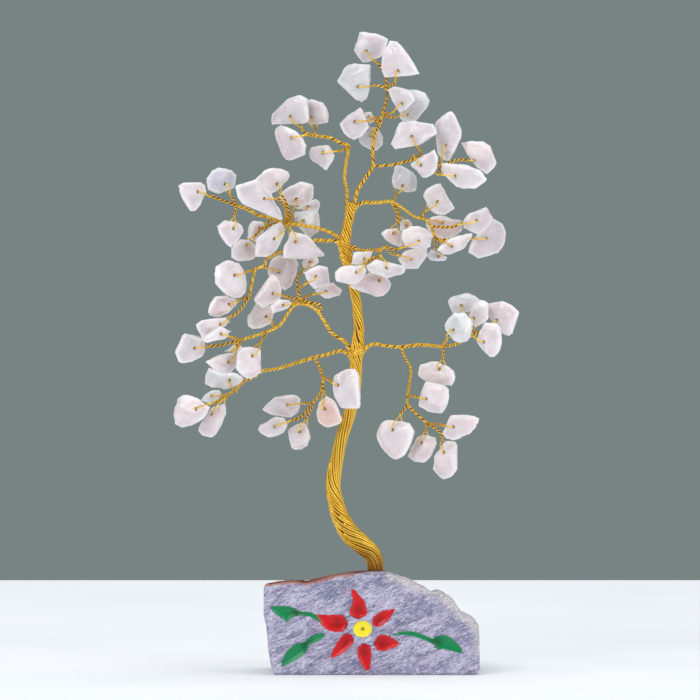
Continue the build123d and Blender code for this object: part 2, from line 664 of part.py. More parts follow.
def branch_solid(branch):
    """Runs, twigs and loops of one branch, run together as twisted wire is."""
    pieces = []
    for number, run in enumerate(branch.runs):
        path = [place(*point, branch) for point in run]
        thick = bundle_radius if number == 0 else fork_radius
        count = len(path) - 1
        radii = [thick + (twig_radius - thick) * index / count for index in range(count + 1)]
        pieces.append(tube(path, radii, star(rope_strands, bundle_groove_share), bundle_turn_degrees))
    for chip in branch.chips:
        path = route_points(branch, chip, twig_end(branch, chip))
        radii = [twig_radius] * (len(path) - 1) + [twig_end_radius]
        pieces.append(tube(path, radii, round_section(twig_sides)))
        pieces.append(loop_solid(branch, chip))
    return turned(branch, pieces[0].fuse(*pieces[1:]))


def trunk_solid():
    """The twisted bundle from the bottom of its socket to the topmost fork."""
    bottom = place(foot_x_pixel, foot_y_pixel) - Vector(0, 0, socket_depth)
    mouth = place(foot_x_pixel, foot_y_pixel)
    points = [bottom, mouth - Vector(0, 0, socket_taper_share * socket_depth)]
    sizes = [foot_radius, foot_radius]
    for x, y, share in trunk_lower_pixels:
        points.append(place(x, y))
        sizes.append(share * trunk_bend_radius)
    for x, y, share in trunk_upper_pixels:
        points.append(place(x, y))
        sizes.append(share * trunk_radius)
    return tube(points, sizes, star(trunk_strands, trunk_groove_share), trunk_turn_degrees)


def stone_sections():
    """Corner rings of the stone from its sawn front to its back, broken on its top and ends."""
    stations = [(share * stone_depth, fall) for share, fall in stone_section_shares]
    stations.insert(1, (stations[0][0] + stone_rim, 0))
    rings = []
    for number, (y, fall) in enumerate(stations):
        ring = []
        for index, (across, up) in enumerate(stone_outline_shares):
            x = across * stone_width
            z = up * stone_height
            if number == 0 and rim_first_corner <= index <= rim_last_corner:
                z -= stone_rim
                if up < level_top_share:
                    x -= stone_rim
            if number > 1 and up > 0:
                wave = 2 * pi * (x + z) / stone_wave_length + radians(section_wave_degrees * number)
                if up < rough_top_share:
                    x -= stone_roughness * cos(wave) ** 2 * (1 if across > 0 else -1)
                elif up < level_top_share:
                    z -= stone_roughness * sin(wave) ** 2
                z -= fall * stone_height * up
            ring.append(Vector(x, y, z))
        rings.append(ring[::-1])
    return rings


def teardrop(inner, tip, width):
    """A gouged leaf shape on the stone's face, round at its inner end and pointed at its tip."""
    start = stone_place(*inner)
    end = stone_place(*tip)
    along = end - start
    half = width * stone_x_scale / 2
    side = Vector(-along.Z, 0, along.X).normalized()
    left = []
    right = []
    for step in range(1, carving_steps):
        share = step / carving_steps
        reach = half * sin(pi * share ** carving_lean_share) ** carving_fullness_share
        left.append(start + along * share + side * reach)
        right.append(start + along * share - side * reach)
    return Face(Wire.make_polygon([start] + left + [end] + right[::-1]))


def stem(inner, tip, width):
    start = stone_place(*inner)
    end = stone_place(*tip)
    along = end - start
    side = Vector(-along.Z, 0, along.X).normalized() * (width * stone_x_scale / 2)
    return Face(Wire.make_polygon([start + side, end + side, end - side, start - side]))


def sunk(face, low, high):
    """The part of a motif between two depths behind the stone's front face."""
    body = Solid.extrude(face, Vector(0, high - low, 0))
    return Pos(0, low, 0) * body


def joined(solids):
    return solids[0].fuse(*solids[1:]) if len(solids) > 1 else solids[0]


def write(name, shape):
    export_step(shape, "parts/" + name + ".step")


os.makedirs("parts", exist_ok=True)

trunk = trunk_solid()

petals = [teardrop(*row) for row in petal_pixels]
leaves = [teardrop(*row) for row in leaf_pixels] + [stem(*row) for row in stem_pixels]
eye_centre = stone_place(*eye_pixels)
eye = Face(Wire.make_circle(eye_radius, Plane(eye_centre, z_dir=(0, 1, 0))))
paint_low = gouge_depth - paint_thickness

petal_paint = joined([sunk(face, paint_low, gouge_depth) for face in petals])
leaf_paint = joined([sunk(face, paint_low, gouge_depth) for face in leaves])
eye_paint = sunk(eye, paint_low, gouge_depth)
petal_paint = petal_paint - eye_paint
leaf_paint = leaf_paint - petal_paint

foot = place(foot_x_pixel, foot_y_pixel)
socket_floor = foot.Z - socket_depth
socket_height = stone_height - socket_floor
socket = Pos(foot.X, 0, socket_floor + socket_height) * Cylinder(foot_radius + glue_gap, 2 * socket_height)
glue_height = socket_depth - glue_below_top
glue = Pos(foot.X, 0, socket_floor + glue_height / 2) * Cylinder(foot_radius + glue_gap, glue_height)
glue = glue - trunk

stone = skin(stone_sections())
for face in petals + leaves + [eye]:
    stone = stone - sunk(face, -gouge_depth, gouge_depth)
stone = stone - socket

write("stone_base", stone)
write("petal_paint", petal_paint)
write("leaf_paint", leaf_paint)
write("eye_paint", eye_paint)
write("foot_glue", glue)
write("trunk_bundle", trunk)

finished = [trunk]
for branch in branches:
    body = branch_solid(branch)
    reach = body.bounding_box()
    for other in finished:
        box = other.bounding_box()
        if (reach.min.X < box.max.X and box.min.X < reach.max.X
                and reach.min.Z < box.max.Z and box.min.Z < reach.max.Z):
            body = body - other
    finished.append(body)
    write(branch.name, body)

clusters = {}
for branch in branches:
    for chip in branch.chips:
        clusters.setdefault(chip.node, []).append(chip_solid(branch, chip))
for name, solids in clusters.items():
    write(name, Compound(solids) if len(solids) > 1 else solids[0])
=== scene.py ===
import json
from math import atan2, cos, pi, radians, sin, tan
import random
from typing import NamedTuple

import bmesh
import bpy
from mathutils import Matrix, Vector, noise
import numpy as np

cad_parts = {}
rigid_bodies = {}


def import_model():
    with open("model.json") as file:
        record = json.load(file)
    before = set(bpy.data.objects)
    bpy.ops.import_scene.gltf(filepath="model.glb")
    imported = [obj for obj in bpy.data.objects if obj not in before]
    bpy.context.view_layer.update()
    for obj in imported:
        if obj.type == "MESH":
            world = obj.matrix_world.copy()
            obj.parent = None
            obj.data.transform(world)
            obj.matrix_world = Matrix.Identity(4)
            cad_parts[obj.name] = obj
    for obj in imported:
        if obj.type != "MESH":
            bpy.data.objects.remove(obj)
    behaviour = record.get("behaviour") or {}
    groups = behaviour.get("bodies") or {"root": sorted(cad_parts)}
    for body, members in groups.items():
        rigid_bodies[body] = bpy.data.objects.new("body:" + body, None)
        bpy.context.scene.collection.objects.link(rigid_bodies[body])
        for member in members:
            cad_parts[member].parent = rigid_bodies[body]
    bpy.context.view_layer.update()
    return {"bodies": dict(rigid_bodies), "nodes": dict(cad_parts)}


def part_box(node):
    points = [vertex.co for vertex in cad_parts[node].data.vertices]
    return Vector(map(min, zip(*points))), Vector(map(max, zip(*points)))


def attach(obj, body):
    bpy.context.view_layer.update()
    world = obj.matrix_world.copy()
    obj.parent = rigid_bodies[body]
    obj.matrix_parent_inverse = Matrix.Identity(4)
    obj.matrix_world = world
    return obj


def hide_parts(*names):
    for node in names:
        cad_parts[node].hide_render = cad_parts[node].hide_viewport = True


bl_info = {
    "name": "Gemstone Tree",
    "version": (1, 0, 0),
    "blender": (4, 5, 0),
    "location": "3D View > Sidebar > Gem Tree",
    "description": "Dresses a gemstone tree: carved stone, enamel, twisted gold wire and quartz chips",
    "category": "Object",
}

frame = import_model()
MM = 0.001

# Where the frame puts the stone and the trunk's foot
STONE_LOW, STONE_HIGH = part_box("stone_base")
GLUE_LOW, GLUE_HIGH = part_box("foot_glue")
FRONT = STONE_LOW.y
FOOT_X = (GLUE_LOW.x + GLUE_HIGH.x) / 2

# Named pixels of the photograph, x to the right and y downward
FOOT_X_PIXEL = 376
FOOT_Y_PIXEL = 573
STONE_LEFT_PIXEL = 263
STONE_RIGHT_PIXEL = 480.5
STONE_BOTTOM_PIXEL = 674.5
TREE_TOP_PIXEL = 30.5

# Metres for each of those pixels, on the tree and on the stone's face
TREE_RISE = 160.0 * MM
TREE_SCALE = TREE_RISE / (FOOT_Y_PIXEL - TREE_TOP_PIXEL)
STONE_X_SCALE = (STONE_HIGH.x - STONE_LOW.x) / (STONE_RIGHT_PIXEL - STONE_LEFT_PIXEL)
STONE_Z_SCALE = (STONE_HIGH.z - STONE_LOW.z) / (STONE_BOTTOM_PIXEL - FOOT_Y_PIXEL)

# The view that the tree's pixels were placed with, and the depth of one layer of chips
PLACED_ELEVATION = radians(3.4)
LAYER = 5.64 * MM

# The trunk. A branch starts some pixels below its fork, sunk a little into the trunk's side.
TRUNK_BEND_RADIUS = 2.9 * MM
TRUNK_RADIUS = 1.75 * MM
SOCKET_DEPTH = 12.0 * MM
FOOT_RADIUS = 2.3 * MM
LEAVE_PIXELS = (22, 9)
LEAVE_SINKS = (0.6 * MM, 0.25 * MM)

# Branches, twigs and loops. A twig ends clear of its chip as it swings.
STRAND_SIDES = 8
BUNDLE_RADIUS = 0.8 * MM
FORK_RADIUS = 0.62 * MM
TWIG_RADIUS = 0.46 * MM
TWIG_END_RADIUS = 0.32 * MM
TWIG_GAP = 0.75 * MM
WIRE_RADIUS = 0.22 * MM
LOOP_LIFT = 2.72 * MM
LOOP_BEND = 0.9 * MM
LOOP_TAIL = 0.8 * MM
KNEE_SHARE = 0.6

# Strands: how closely they lie, in radii, over what length they shift and end, how long their
# sways are, and how a wire crosses the trunk
STRAND_PITCH = 2.04
STRAND_SHIFT = 2.5 * MM
STRAND_FADE = 1.6 * MM
SIDE_SWAYS = (5, 9)
DEPTH_SWAYS = (4, 8)
ROPE_SWAY = 6 * MM
CROSS_POINTS = 22
CROSS_TURN = radians(112)

# Edges that are sharper than this aren't shaded smooth
CHIP_SHARP = radians(42)
STONE_SHARP = radians(50)

# Chips: how far one swings, the sides of its hole, how thick it may be for its width, the widths
# of its waves and dents, and the height where the painted shade of the higher chips starts
SWING_DEGREES = 12
HOLE_SIDES = 20
THICKEST_SHARE = 0.42
BROAD_WAVE = 4.5 * MM
FINE_WAVE = 1.6 * MM
DENT_REACHES = (1.4 * MM, 3.0 * MM)
SHADE_START_HEIGHT = 60.0 * MM
SHADE_WAVE = 3.6 * MM
BLUSH_WAVE = 8 * MM

# The trunk's centre line: x, y, its radius as a share of the bend's or the trunk's radius,
# and the slope of its strands to its axis in degrees.
TRUNK_LOWER = [
    (374, 560, 0.86, 14), (363, 548, 0.98, 20), (350, 536, 1.0, 24), (341, 521, 0.92, 24),
    (336, 506, 0.83, 22), (333, 490, 0.78, 20), (334, 475, 0.74, 12),
]
TRUNK_UPPER = [
    (337, 460, 1.1, 7), (342, 438, 1.07, 6), (347, 423, 1.05, 8), (351, 410, 1.03, 12),
    (355, 390, 1.02, 18), (356, 368, 1.02, 22), (357, 350, 1.14, 24), (359, 330, 0.9, 20),
    (357.5, 312, 0.84, 18), (355, 295, 0.86, 22), (350, 275, 0.86, 30), (346, 259, 0.9, 34),
    (345, 243, 0.96, 34), (347, 229, 0.84, 30), (349.5, 215, 0.76, 28), (351, 202, 0.7, 26),
]


class Chip(NamedTuple):
    """A chip: its CAD node, its tone, its hole, its depth in layers, its outline and its twig's route."""

    node: str
    tone: str
    hole: tuple
    depth: float
    outline: list
    route: list


class Branch(NamedTuple):
    """A branch: the pixel that it turns about, its turn in degrees, its bundles and chips."""

    name: str
    pivot: float
    turn: float
    runs: list
    chips: list


CROWN = Branch("crown_branch", pivot=351, turn=-10, runs=[
    [(351.5, 203, 0), (357, 192, 0), (365, 179, 0), (373, 166, 0), (373, 154, 0), (374, 138, 0),
     (379.5, 123, 0), (383.5, 111, 0), (387.5, 95, 0), (387, 86, 0)],
    [(373, 166, 0), (390, 165, 0), (404, 162, 0), (421, 157, 0.15), (431, 158, 0.2), (441, 166, 0.2)],
], chips=[
    Chip("crown_chip_1", "milky", (367, 50), 0.5,
         [(359, 30.5), (372.5, 32), (388, 38), (382, 54), (369, 61.5), (362, 61), (354, 49)],
         [(387, 86, 0), (386, 77), (381.5, 67)]),
    Chip("crown_chip_2", "milky", (399, 70), -0.55,
         [(389, 40), (397.5, 41), (409, 56.5), (420, 74), (412, 74.5), (385, 77), (381.5, 67), (382.5, 56)],
         [(387, 86, 0), (395, 83)]),
    Chip("crown_chip_3", "clear", (359, 86), 0,
         [(355, 62.5), (371, 64), (371, 69), (368, 73), (370, 90), (367, 98), (361.5, 102), (355, 97),
          (348, 87.5), (337.5, 80), (347, 64)],
         [(387, 88, 0), (379, 85)]),
    Chip("inner_crown_cluster", "milky", (403, 103), -0.6,
         [(387.5, 89.5), (394, 86), (405, 89), (411, 91), (415.5, 100), (406, 110), (399.5, 112),
          (390.5, 96.5)],
         [(382.5, 114, 0), (391, 113)]),
    Chip("inner_crown_cluster", "clear", (408, 114), 0.5,
         [(405, 89), (417.5, 89), (426, 92), (430, 100), (428, 106), (416.5, 120.5), (399.5, 121),
          (399.5, 112)],
         [(382.5, 114, 0), (391, 117)]),
    Chip("crown_chip_4", "milky", (413, 136), -0.6,
         [(399.5, 121.5), (416.5, 120.5), (434, 123), (437.5, 133.5), (427, 136.5), (420, 145), (408, 146.5),
          (395, 149), (391, 143.5), (399, 133.5)],
         [(423, 157, 0.15), (421, 152)]),
    Chip("crown_chip_5", "milky", (446.5, 145), 0.25,
         [(435.5, 123), (438.5, 119), (448, 116), (449, 112), (452.5, 111), (456, 114), (462, 129),
          (462, 137), (458.5, 145), (452, 152), (451, 160.5), (446, 160.5), (438.5, 152.5)],
         [(441, 166, 0.2)]),
    Chip("crown_chip_6", "milky", (475, 160), 0.9,
         [(461.5, 142), (471.5, 140.5), (484, 141), (491.5, 146), (497, 162), (495, 166.5), (487.5, 174),
          (477, 166.5), (467.5, 153.5)],
         [(441, 166, 0.2), (457, 160)]),
    Chip("crown_chip_7", "milky", (456, 176), -0.3,
         [(443, 163.5), (454, 163), (466, 165), (478.5, 169), (484.5, 174), (487, 180), (475, 188),
          (464.5, 189), (456, 186), (450, 180), (441.5, 172.5)],
         [(441, 166, 0.2), (439, 174)]),
    Chip("inner_crown_cluster", "milky", (422, 165), -0.9,
         [(411, 164.5), (419.5, 158), (434, 149), (438.5, 159.5), (437, 166.5), (433, 174), (426, 178),
          (421.5, 178), (413, 168)],
         [(421, 157, 0.15), (414, 156)]),
    Chip("inner_crown_cluster", "milky", (356, 121), -0.45,
         [(359.5, 106.5), (363.5, 109.5), (369, 126), (362, 135), (353.5, 140), (344.5, 132.5), (339.5, 123),
          (347.5, 115)],
         [(379.5, 121, 0), (375, 120)]),
    Chip("inner_crown_cluster", "clear", (369, 116), 0.75,
         [(365, 111), (371.5, 111), (375.5, 119), (369, 124)],
         [(381, 118, 0)]),
    Chip("inner_crown_cluster", "clear", (371, 135), 0.7,
         [(369, 126), (379, 127), (383, 136.5), (383, 144.5), (378, 150.5), (373, 150.5), (359.5, 143),
          (359, 136.5)],
         [(379.5, 122, 0), (379, 125.5)]),
])

RIGHT_UPPER = Branch("right_upper_branch", pivot=350, turn=25, runs=[
    [(351, 203, 0), (362, 203, 0), (377, 202.5, 0), (391.6, 201.5, 0), (403, 208, 0), (415, 216.5, 0.1),
     (427, 220, 0.2), (433, 230, 0.2), (436, 240, 0.2)],
], chips=[
    Chip("right_upper_chip_1", "clear", (401, 185), 0.6,
         [(397, 165), (402.5, 165), (414, 171), (417, 176), (417, 185.5), (415.5, 190), (406.5, 192),
          (399.5, 189.5), (393.5, 187), (392.5, 177)],
         [(391.6, 201.5, 0), (396, 196)]),
    Chip("right_upper_chip_2", "milky", (436, 201), -0.1,
         [(440, 183), (455, 207.5), (444, 215), (433, 211.5), (430, 208), (423, 196), (426.5, 189.5)],
         [(421, 218, 0.15), (425, 212)]),
    Chip("right_cluster", "milky", (441, 222), 0.9,
         [(426.5, 223), (433, 216.5), (441.5, 215), (463, 220), (462, 230), (454.5, 235.5), (446, 240.5),
          (433, 238)],
         [(415, 216.5, 0.1)]),
    Chip("right_upper_chip_3", "milky", (475, 220), -0.1,
         [(463.5, 220.5), (471, 213), (487, 206.5), (490, 209), (494, 218), (488, 226.5), (479.5, 234),
          (471, 231), (464.5, 228)],
         [(431, 226, 0.2), (450, 227, 0.15)]),
    Chip("right_upper_chip_4", "milky", (485, 238), 0.95,
         [(494.5, 218), (502.5, 223), (507, 232), (504.5, 244.5), (499.5, 253), (480, 258), (468, 252),
          (475, 239.5), (483.5, 229)],
         [(436, 240, 0.2), (455, 239, 0.25)]),
    Chip("right_cluster", "milky", (450, 246), -0.5,
         [(437, 249.5), (450.5, 239), (468, 233), (472.5, 234), (470.5, 241), (463, 249), (450.5, 254.5),
          (443, 254.5)],
         [(435, 237, 0.2)]),
    Chip("right_cluster", "lilac", (438, 256), 0.75,
         [(428, 256), (431.5, 249.5), (449, 256), (446, 261), (431.5, 259.5)],
         [(436, 240, 0.2)]),
    Chip("right_cluster", "milky", (406, 225), 1.45,
         [(400.7, 220.5), (408, 219), (413, 224.5), (410, 231), (401, 231)],
         [(396.5, 205, 0), (399, 215, 0.7)]),
    Chip("right_cluster", "pink", (392, 233), 0.45,
         [(382, 234), (386.5, 229.5), (396.5, 228), (401.5, 233), (404, 244.5), (399, 247), (385, 240.5)],
         [(391.6, 201.5, 0), (397, 212), (398, 221)]),
])

RIGHT_INNER = Branch("right_inner_branch", pivot=350, turn=25, runs=[
    [(345.5, 244, 0), (354, 248, -0.2), (361, 251, -0.3), (370, 250.5, -0.3), (379, 250, -0.2),
     (386, 247, -0.1)],
    [(379, 250, -0.2), (381, 257, -0.9)],
], chips=[
    Chip("right_cluster", "milky", (417, 241), -0.55,
         [(402.5, 231), (412, 226.5), (420, 226), (426.5, 228), (433, 236), (430, 247), (416.5, 249),
          (405, 247), (401.5, 239)],
         [(386, 247, -0.1), (397, 250, -0.35)]),
    Chip("right_cluster", "milky", (410, 259), 0.45,
         [(399, 259.5), (405, 252), (416.5, 249), (428, 247), (426.5, 257), (421.5, 263.5), (418, 269),
          (405, 268.7)],
         [(386, 247, -0.1), (391, 253)]),
    Chip("centre_cluster", "milky", (363, 259), -1,
         [(351, 263.5), (355, 253.5), (372, 251.5), (374, 254), (369.5, 259), (363, 264), (352.5, 265.5)],
         [(381, 257, -0.9)]),
    Chip("centre_cluster", "milky", (354, 273), -2,
         [(335, 273), (339.5, 269), (347, 267), (363, 265.5), (366, 272), (361, 279.5), (355.5, 284.5),
          (349, 285), (337, 282.5)],
         [(381, 257, -0.9), (376, 258, -1.5), (365, 264, -1.75)]),
    Chip("centre_cluster", "milky", (384, 268), -2.1,
         [(366, 267), (376, 260), (385.5, 263.5), (401.5, 266), (405.5, 270), (403, 274.5), (394, 277.5),
          (386, 279), (378.5, 274.5), (369.5, 273)],
         [(381, 257, -0.9)]),
    Chip("centre_cluster", "pink", (377, 281), -1,
         [(350, 288.5), (350.5, 284.5), (366, 273), (379, 275), (389, 281), (391.5, 284), (389.5, 289.5),
          (383.5, 296), (376, 297.5), (368.5, 296), (361, 292)],
         [(381, 257, -0.9)]),
])

LEFT_TOP = Branch("left_top_branch", pivot=351, turn=-30, runs=[
    [(351, 203, 0), (347, 190, 0), (344.5, 178, 0), (346.5, 160.5, 0), (348.5, 146, 0), (341.5, 143, 0),
     (329, 137, 0), (315, 135.5, 0)],
], chips=[
    Chip("left_top_chip_1", "milky", (293, 115), 0,
         [(271.5, 113), (287, 98.5), (297, 94), (301, 94.5), (307, 99), (309, 122.5), (297, 122), (287, 123),
          (273, 123.5), (271, 120)],
         [(315, 135.5, 0), (304.5, 131.5)]),
    Chip("left_top_chip_2", "milky", (314, 116), 1,
         [(307, 99), (312, 98), (322.5, 100.5), (325, 104), (328, 117), (327, 122.5), (315, 123.5),
          (309, 122.5)],
         [(315, 135.5, 0)]),
    Chip("left_top_chip_3", "milky", (294, 137), -0.75,
         [(274, 124.5), (281, 124.5), (295.5, 131), (303, 139), (305.5, 145.5), (305, 154.5), (298, 156.5),
          (290.5, 160), (286.5, 159.5), (283, 154), (278.5, 141), (274.5, 132)],
         [(315, 135.5, 0), (308, 134)]),
    Chip("left_top_chip_4", "milky", (325, 152), 0,
         [(311.5, 146), (327.5, 144.5), (334, 155), (332, 161.5), (326, 170), (316, 162), (309.5, 157.5),
          (309.5, 152)],
         [(348.5, 146, 0), (343, 150)]),
])

LEFT_UPPER = Branch("left_upper_branch", pivot=349, turn=22, runs=[
    [(346, 239, 0), (337, 236.5, 0), (320, 229, 0), (304, 226, 0), (288, 224, 0.1), (270.5, 218, 0.15),
     (258, 215.5, 0), (248, 210, 0), (236.5, 206, 0)],
], chips=[
    Chip("left_upper_chip_1", "milky", (196, 192), 0,
         [(178.5, 186), (182, 183.5), (200.5, 182.7), (205, 185), (205, 193), (200.5, 204), (195.5, 211),
          (190, 212), (182, 197)],
         [(236.5, 206, 0), (220, 200)]),
    Chip("left_upper_chip_2", "lilac", (223, 184), -0.1,
         [(206, 178.5), (212, 171.5), (218.5, 168), (231, 170.5), (235.5, 176), (233, 188), (225.5, 190.5),
          (219.5, 194.5), (207.5, 190)],
         [(236.5, 206, 0)]),
    Chip("left_upper_chip_3", "milky", (231, 229), -0.35,
         [(217.5, 227), (224.5, 221), (235.5, 222.5), (241, 226.5), (242.5, 232), (238, 240), (230.5, 249),
          (225.5, 244), (219, 234)],
         [(236.5, 206, 0)]),
    Chip("left_cluster", "milky", (246, 245), 0.7,
         [(231, 249.5), (239.5, 240), (253, 241.5), (259.5, 255), (249.5, 260.5), (238, 262), (231, 258)],
         [(281, 221.5, 0.15), (262, 229, 0.65)]),
    Chip("left_cluster", "milky", (257, 228), 1.75,
         [(247, 239), (249.5, 226), (253, 221), (262, 222), (264, 227), (262, 245)],
         [(281, 221.5, 0.15), (272, 220, 1.4)]),
    Chip("left_cluster", "milky", (272, 239), -0.4,
         [(255, 255.5), (256, 240), (272, 227), (281, 222), (284, 230), (283, 236.5), (277, 249), (273, 257),
          (258, 258)],
         [(288, 224, 0.1)]),
    Chip("left_cluster", "milky", (262, 199), -1.45,
         [(235.5, 187), (250, 182), (256, 180), (270, 194), (283, 217), (281, 221), (261, 212), (249, 207),
          (243, 205), (238, 198.5)],
         [(286, 223, 0.1), (285, 208, -1.2), (278, 199, -1.45)]),
    Chip("left_cluster", "milky", (275, 184), -0.4,
         [(255, 180), (259, 175), (266, 170), (273, 168), (281, 169), (287, 172), (289, 176), (287, 180.5),
          (281, 187), (277, 190.5), (270, 194)],
         [(288, 224, 0.1), (287, 206, -0.4)]),
    Chip("left_cluster", "milky", (294, 199), 0.65,
         [(280.5, 192), (298.5, 181.5), (306, 185), (312.5, 185), (314, 188), (314, 198), (309, 204.5),
          (293, 206), (277, 201)],
         [(288, 224, 0.1), (291, 214)]),
    Chip("left_cluster", "milky", (307, 206), 1.75,
         [(314, 199), (318, 200), (320, 203.5), (318, 211), (305.5, 211), (293, 208)],
         [(288, 224, 0.1), (291, 218, 1.4)]),
    Chip("left_cluster", "clear", (301, 221), 0.75,
         [(318, 211), (320, 217.5), (320, 225), (318, 231), (310, 237.5), (306, 235), (300, 228),
          (293.5, 218.5), (293.5, 211)],
         [(288, 224, 0.1)]),
    Chip("left_cluster", "milky", (294, 242), -0.45,
         [(291, 232), (297, 236), (304, 234.5), (310, 238.5), (324, 255), (321.5, 258), (302.5, 259.5),
          (283, 259.5), (283, 248)],
         [(288, 224, 0.1)]),
])

LEFT_MIDDLE = Branch("left_middle_branch", pivot=349, turn=22, runs=[
    [(346, 243, 0), (337, 242, 0), (325, 241, 0.2), (312, 241, 0.35), (290, 248, 0.4), (267, 259, 0.35),
     (264, 266, 0.3), (255, 270, 0.3), (252.5, 279, 0.2), (250.5, 288.5, 0.2), (249, 297.5, 0.2)],
], chips=[
    Chip("left_middle_chip_1", "milky", (232, 276), -0.35,
         [(216.5, 268), (222, 262), (229, 261), (239, 263.5), (243.5, 273.5), (246.5, 285), (245, 294),
          (240, 298.5), (232, 299), (225.5, 296.5), (215, 284), (214, 275)],
         [(255, 270, 0.3)]),
    Chip("left_cluster", "milky", (277, 272), 1.05,
         [(268.5, 261), (279, 255.5), (294, 258), (298, 264.5), (294, 274), (290.5, 285), (283.5, 291),
          (279, 287), (274.5, 278), (267.5, 274)],
         [(262, 267, 0.3)]),
    Chip("left_lower_cluster", "pink", (227, 305), 0.7,
         [(207, 312.5), (210.5, 304), (215.5, 297.5), (226.5, 296.5), (236, 299), (235.5, 306.5),
          (228, 313.5), (218.5, 318), (210.5, 317.5)],
         [(249, 297.5, 0.2)]),
    Chip("left_lower_cluster", "milky", (218, 325), -0.2,
         [(194, 325.5), (199.5, 321.5), (216, 319.5), (225, 318.5), (229, 323.5), (220, 331), (201, 340)],
         [(249, 297.5, 0.2), (238, 313, -0.15)]),
])

LEFT_LOWER = Branch("left_lower_branch", pivot=349, turn=22, runs=[
    [(357, 348, 0), (345, 343, 0), (332, 334, 0), (323, 320, 0), (316.5, 311, 0), (307, 305.5, 0),
     (295.5, 305.5, 0), (288, 313.5, 0), (282.5, 322.5, 0), (275.5, 329, 0), (257, 336, 0), (240.5, 341, 0)],
    [(318, 313, 0), (320, 306, 0.05), (301.5, 301, 0.1), (297.5, 291, 0.1)],
], chips=[
    Chip("left_inner_cluster", "milky", (264, 317), 1.05,
         [(255, 304), (270, 308), (273, 315.5), (269, 324.5), (260.5, 329.5), (252, 330), (247.5, 327),
          (248, 317)],
         [(275.5, 329, 0)]),
    Chip("left_lower_chip_1", "milky", (250, 357), -0.9,
         [(241.5, 349), (248.5, 348), (261, 349), (261, 359.5), (260, 373.5), (251.5, 379), (245.5, 380),
          (235.5, 369.5), (236.5, 355)],
         [(266, 332.5, 0), (261, 343)]),
    Chip("left_lower_cluster", "milky", (219, 335), -1.25,
         [(219, 328), (231, 332), (225, 339), (208, 344), (201.5, 340)],
         [(240.5, 341, 0)]),
    Chip("left_lower_cluster", "milky", (232, 352), 1.15,
         [(224, 352), (233, 346), (241.5, 347), (238, 354)],
         [(240.5, 341, 0)]),
    Chip("left_lower_cluster", "milky", (227, 363), 0.1,
         [(204.5, 363.5), (220, 356.5), (235.5, 353), (240.5, 357.5), (235, 369.5), (227, 375.5),
          (221, 375.5), (213, 370.5)],
         [(240.5, 341, 0)]),
    Chip("left_lower_chip_2", "milky", (192, 349), 0.8,
         [(181, 337), (185, 334.5), (194.5, 340), (202.5, 340), (204.5, 350), (201.5, 357), (190.5, 362.5),
          (183, 364.5), (179, 362.5), (175, 353), (179, 345)],
         [(240.5, 341, 0), (221, 346)]),
    Chip("left_inner_cluster", "pink", (309, 262), 0.75,
         [(309.5, 254.5), (317.5, 258), (318, 262.5), (312, 267), (304, 269), (301.5, 262)],
         [(297.5, 291, 0.1), (297, 279, 0.4)]),
    Chip("left_inner_cluster", "milky", (314, 277), -0.9,
         [(303, 273.5), (307.5, 270.5), (318.5, 266), (327, 267.5), (330, 277), (331, 286), (315, 290),
          (311, 286)],
         [(297.5, 291, 0.1)]),
    Chip("left_inner_cluster", "milky", (325, 292), 0.2,
         [(316, 290), (333.5, 282.5), (342.5, 291), (339, 295.5), (332, 299), (324.5, 298.5), (315.5, 293)],
         [(301.5, 301, 0.1), (309, 296)]),
    Chip("left_inner_cluster", "milky", (271, 294), 0,
         [(271, 274.5), (279, 281.5), (281, 290.5), (279, 300), (262, 309), (255, 304), (254, 299),
          (260.5, 288.5), (266.5, 279)],
         [(301.5, 301, 0.1)]),
    Chip("left_inner_cluster", "milky", (282, 306), -1.05,
         [(279, 300), (289, 300.5), (291.5, 304.5), (288, 309), (273, 315.5), (270, 306)],
         [(301.5, 301, 0.1)]),
])

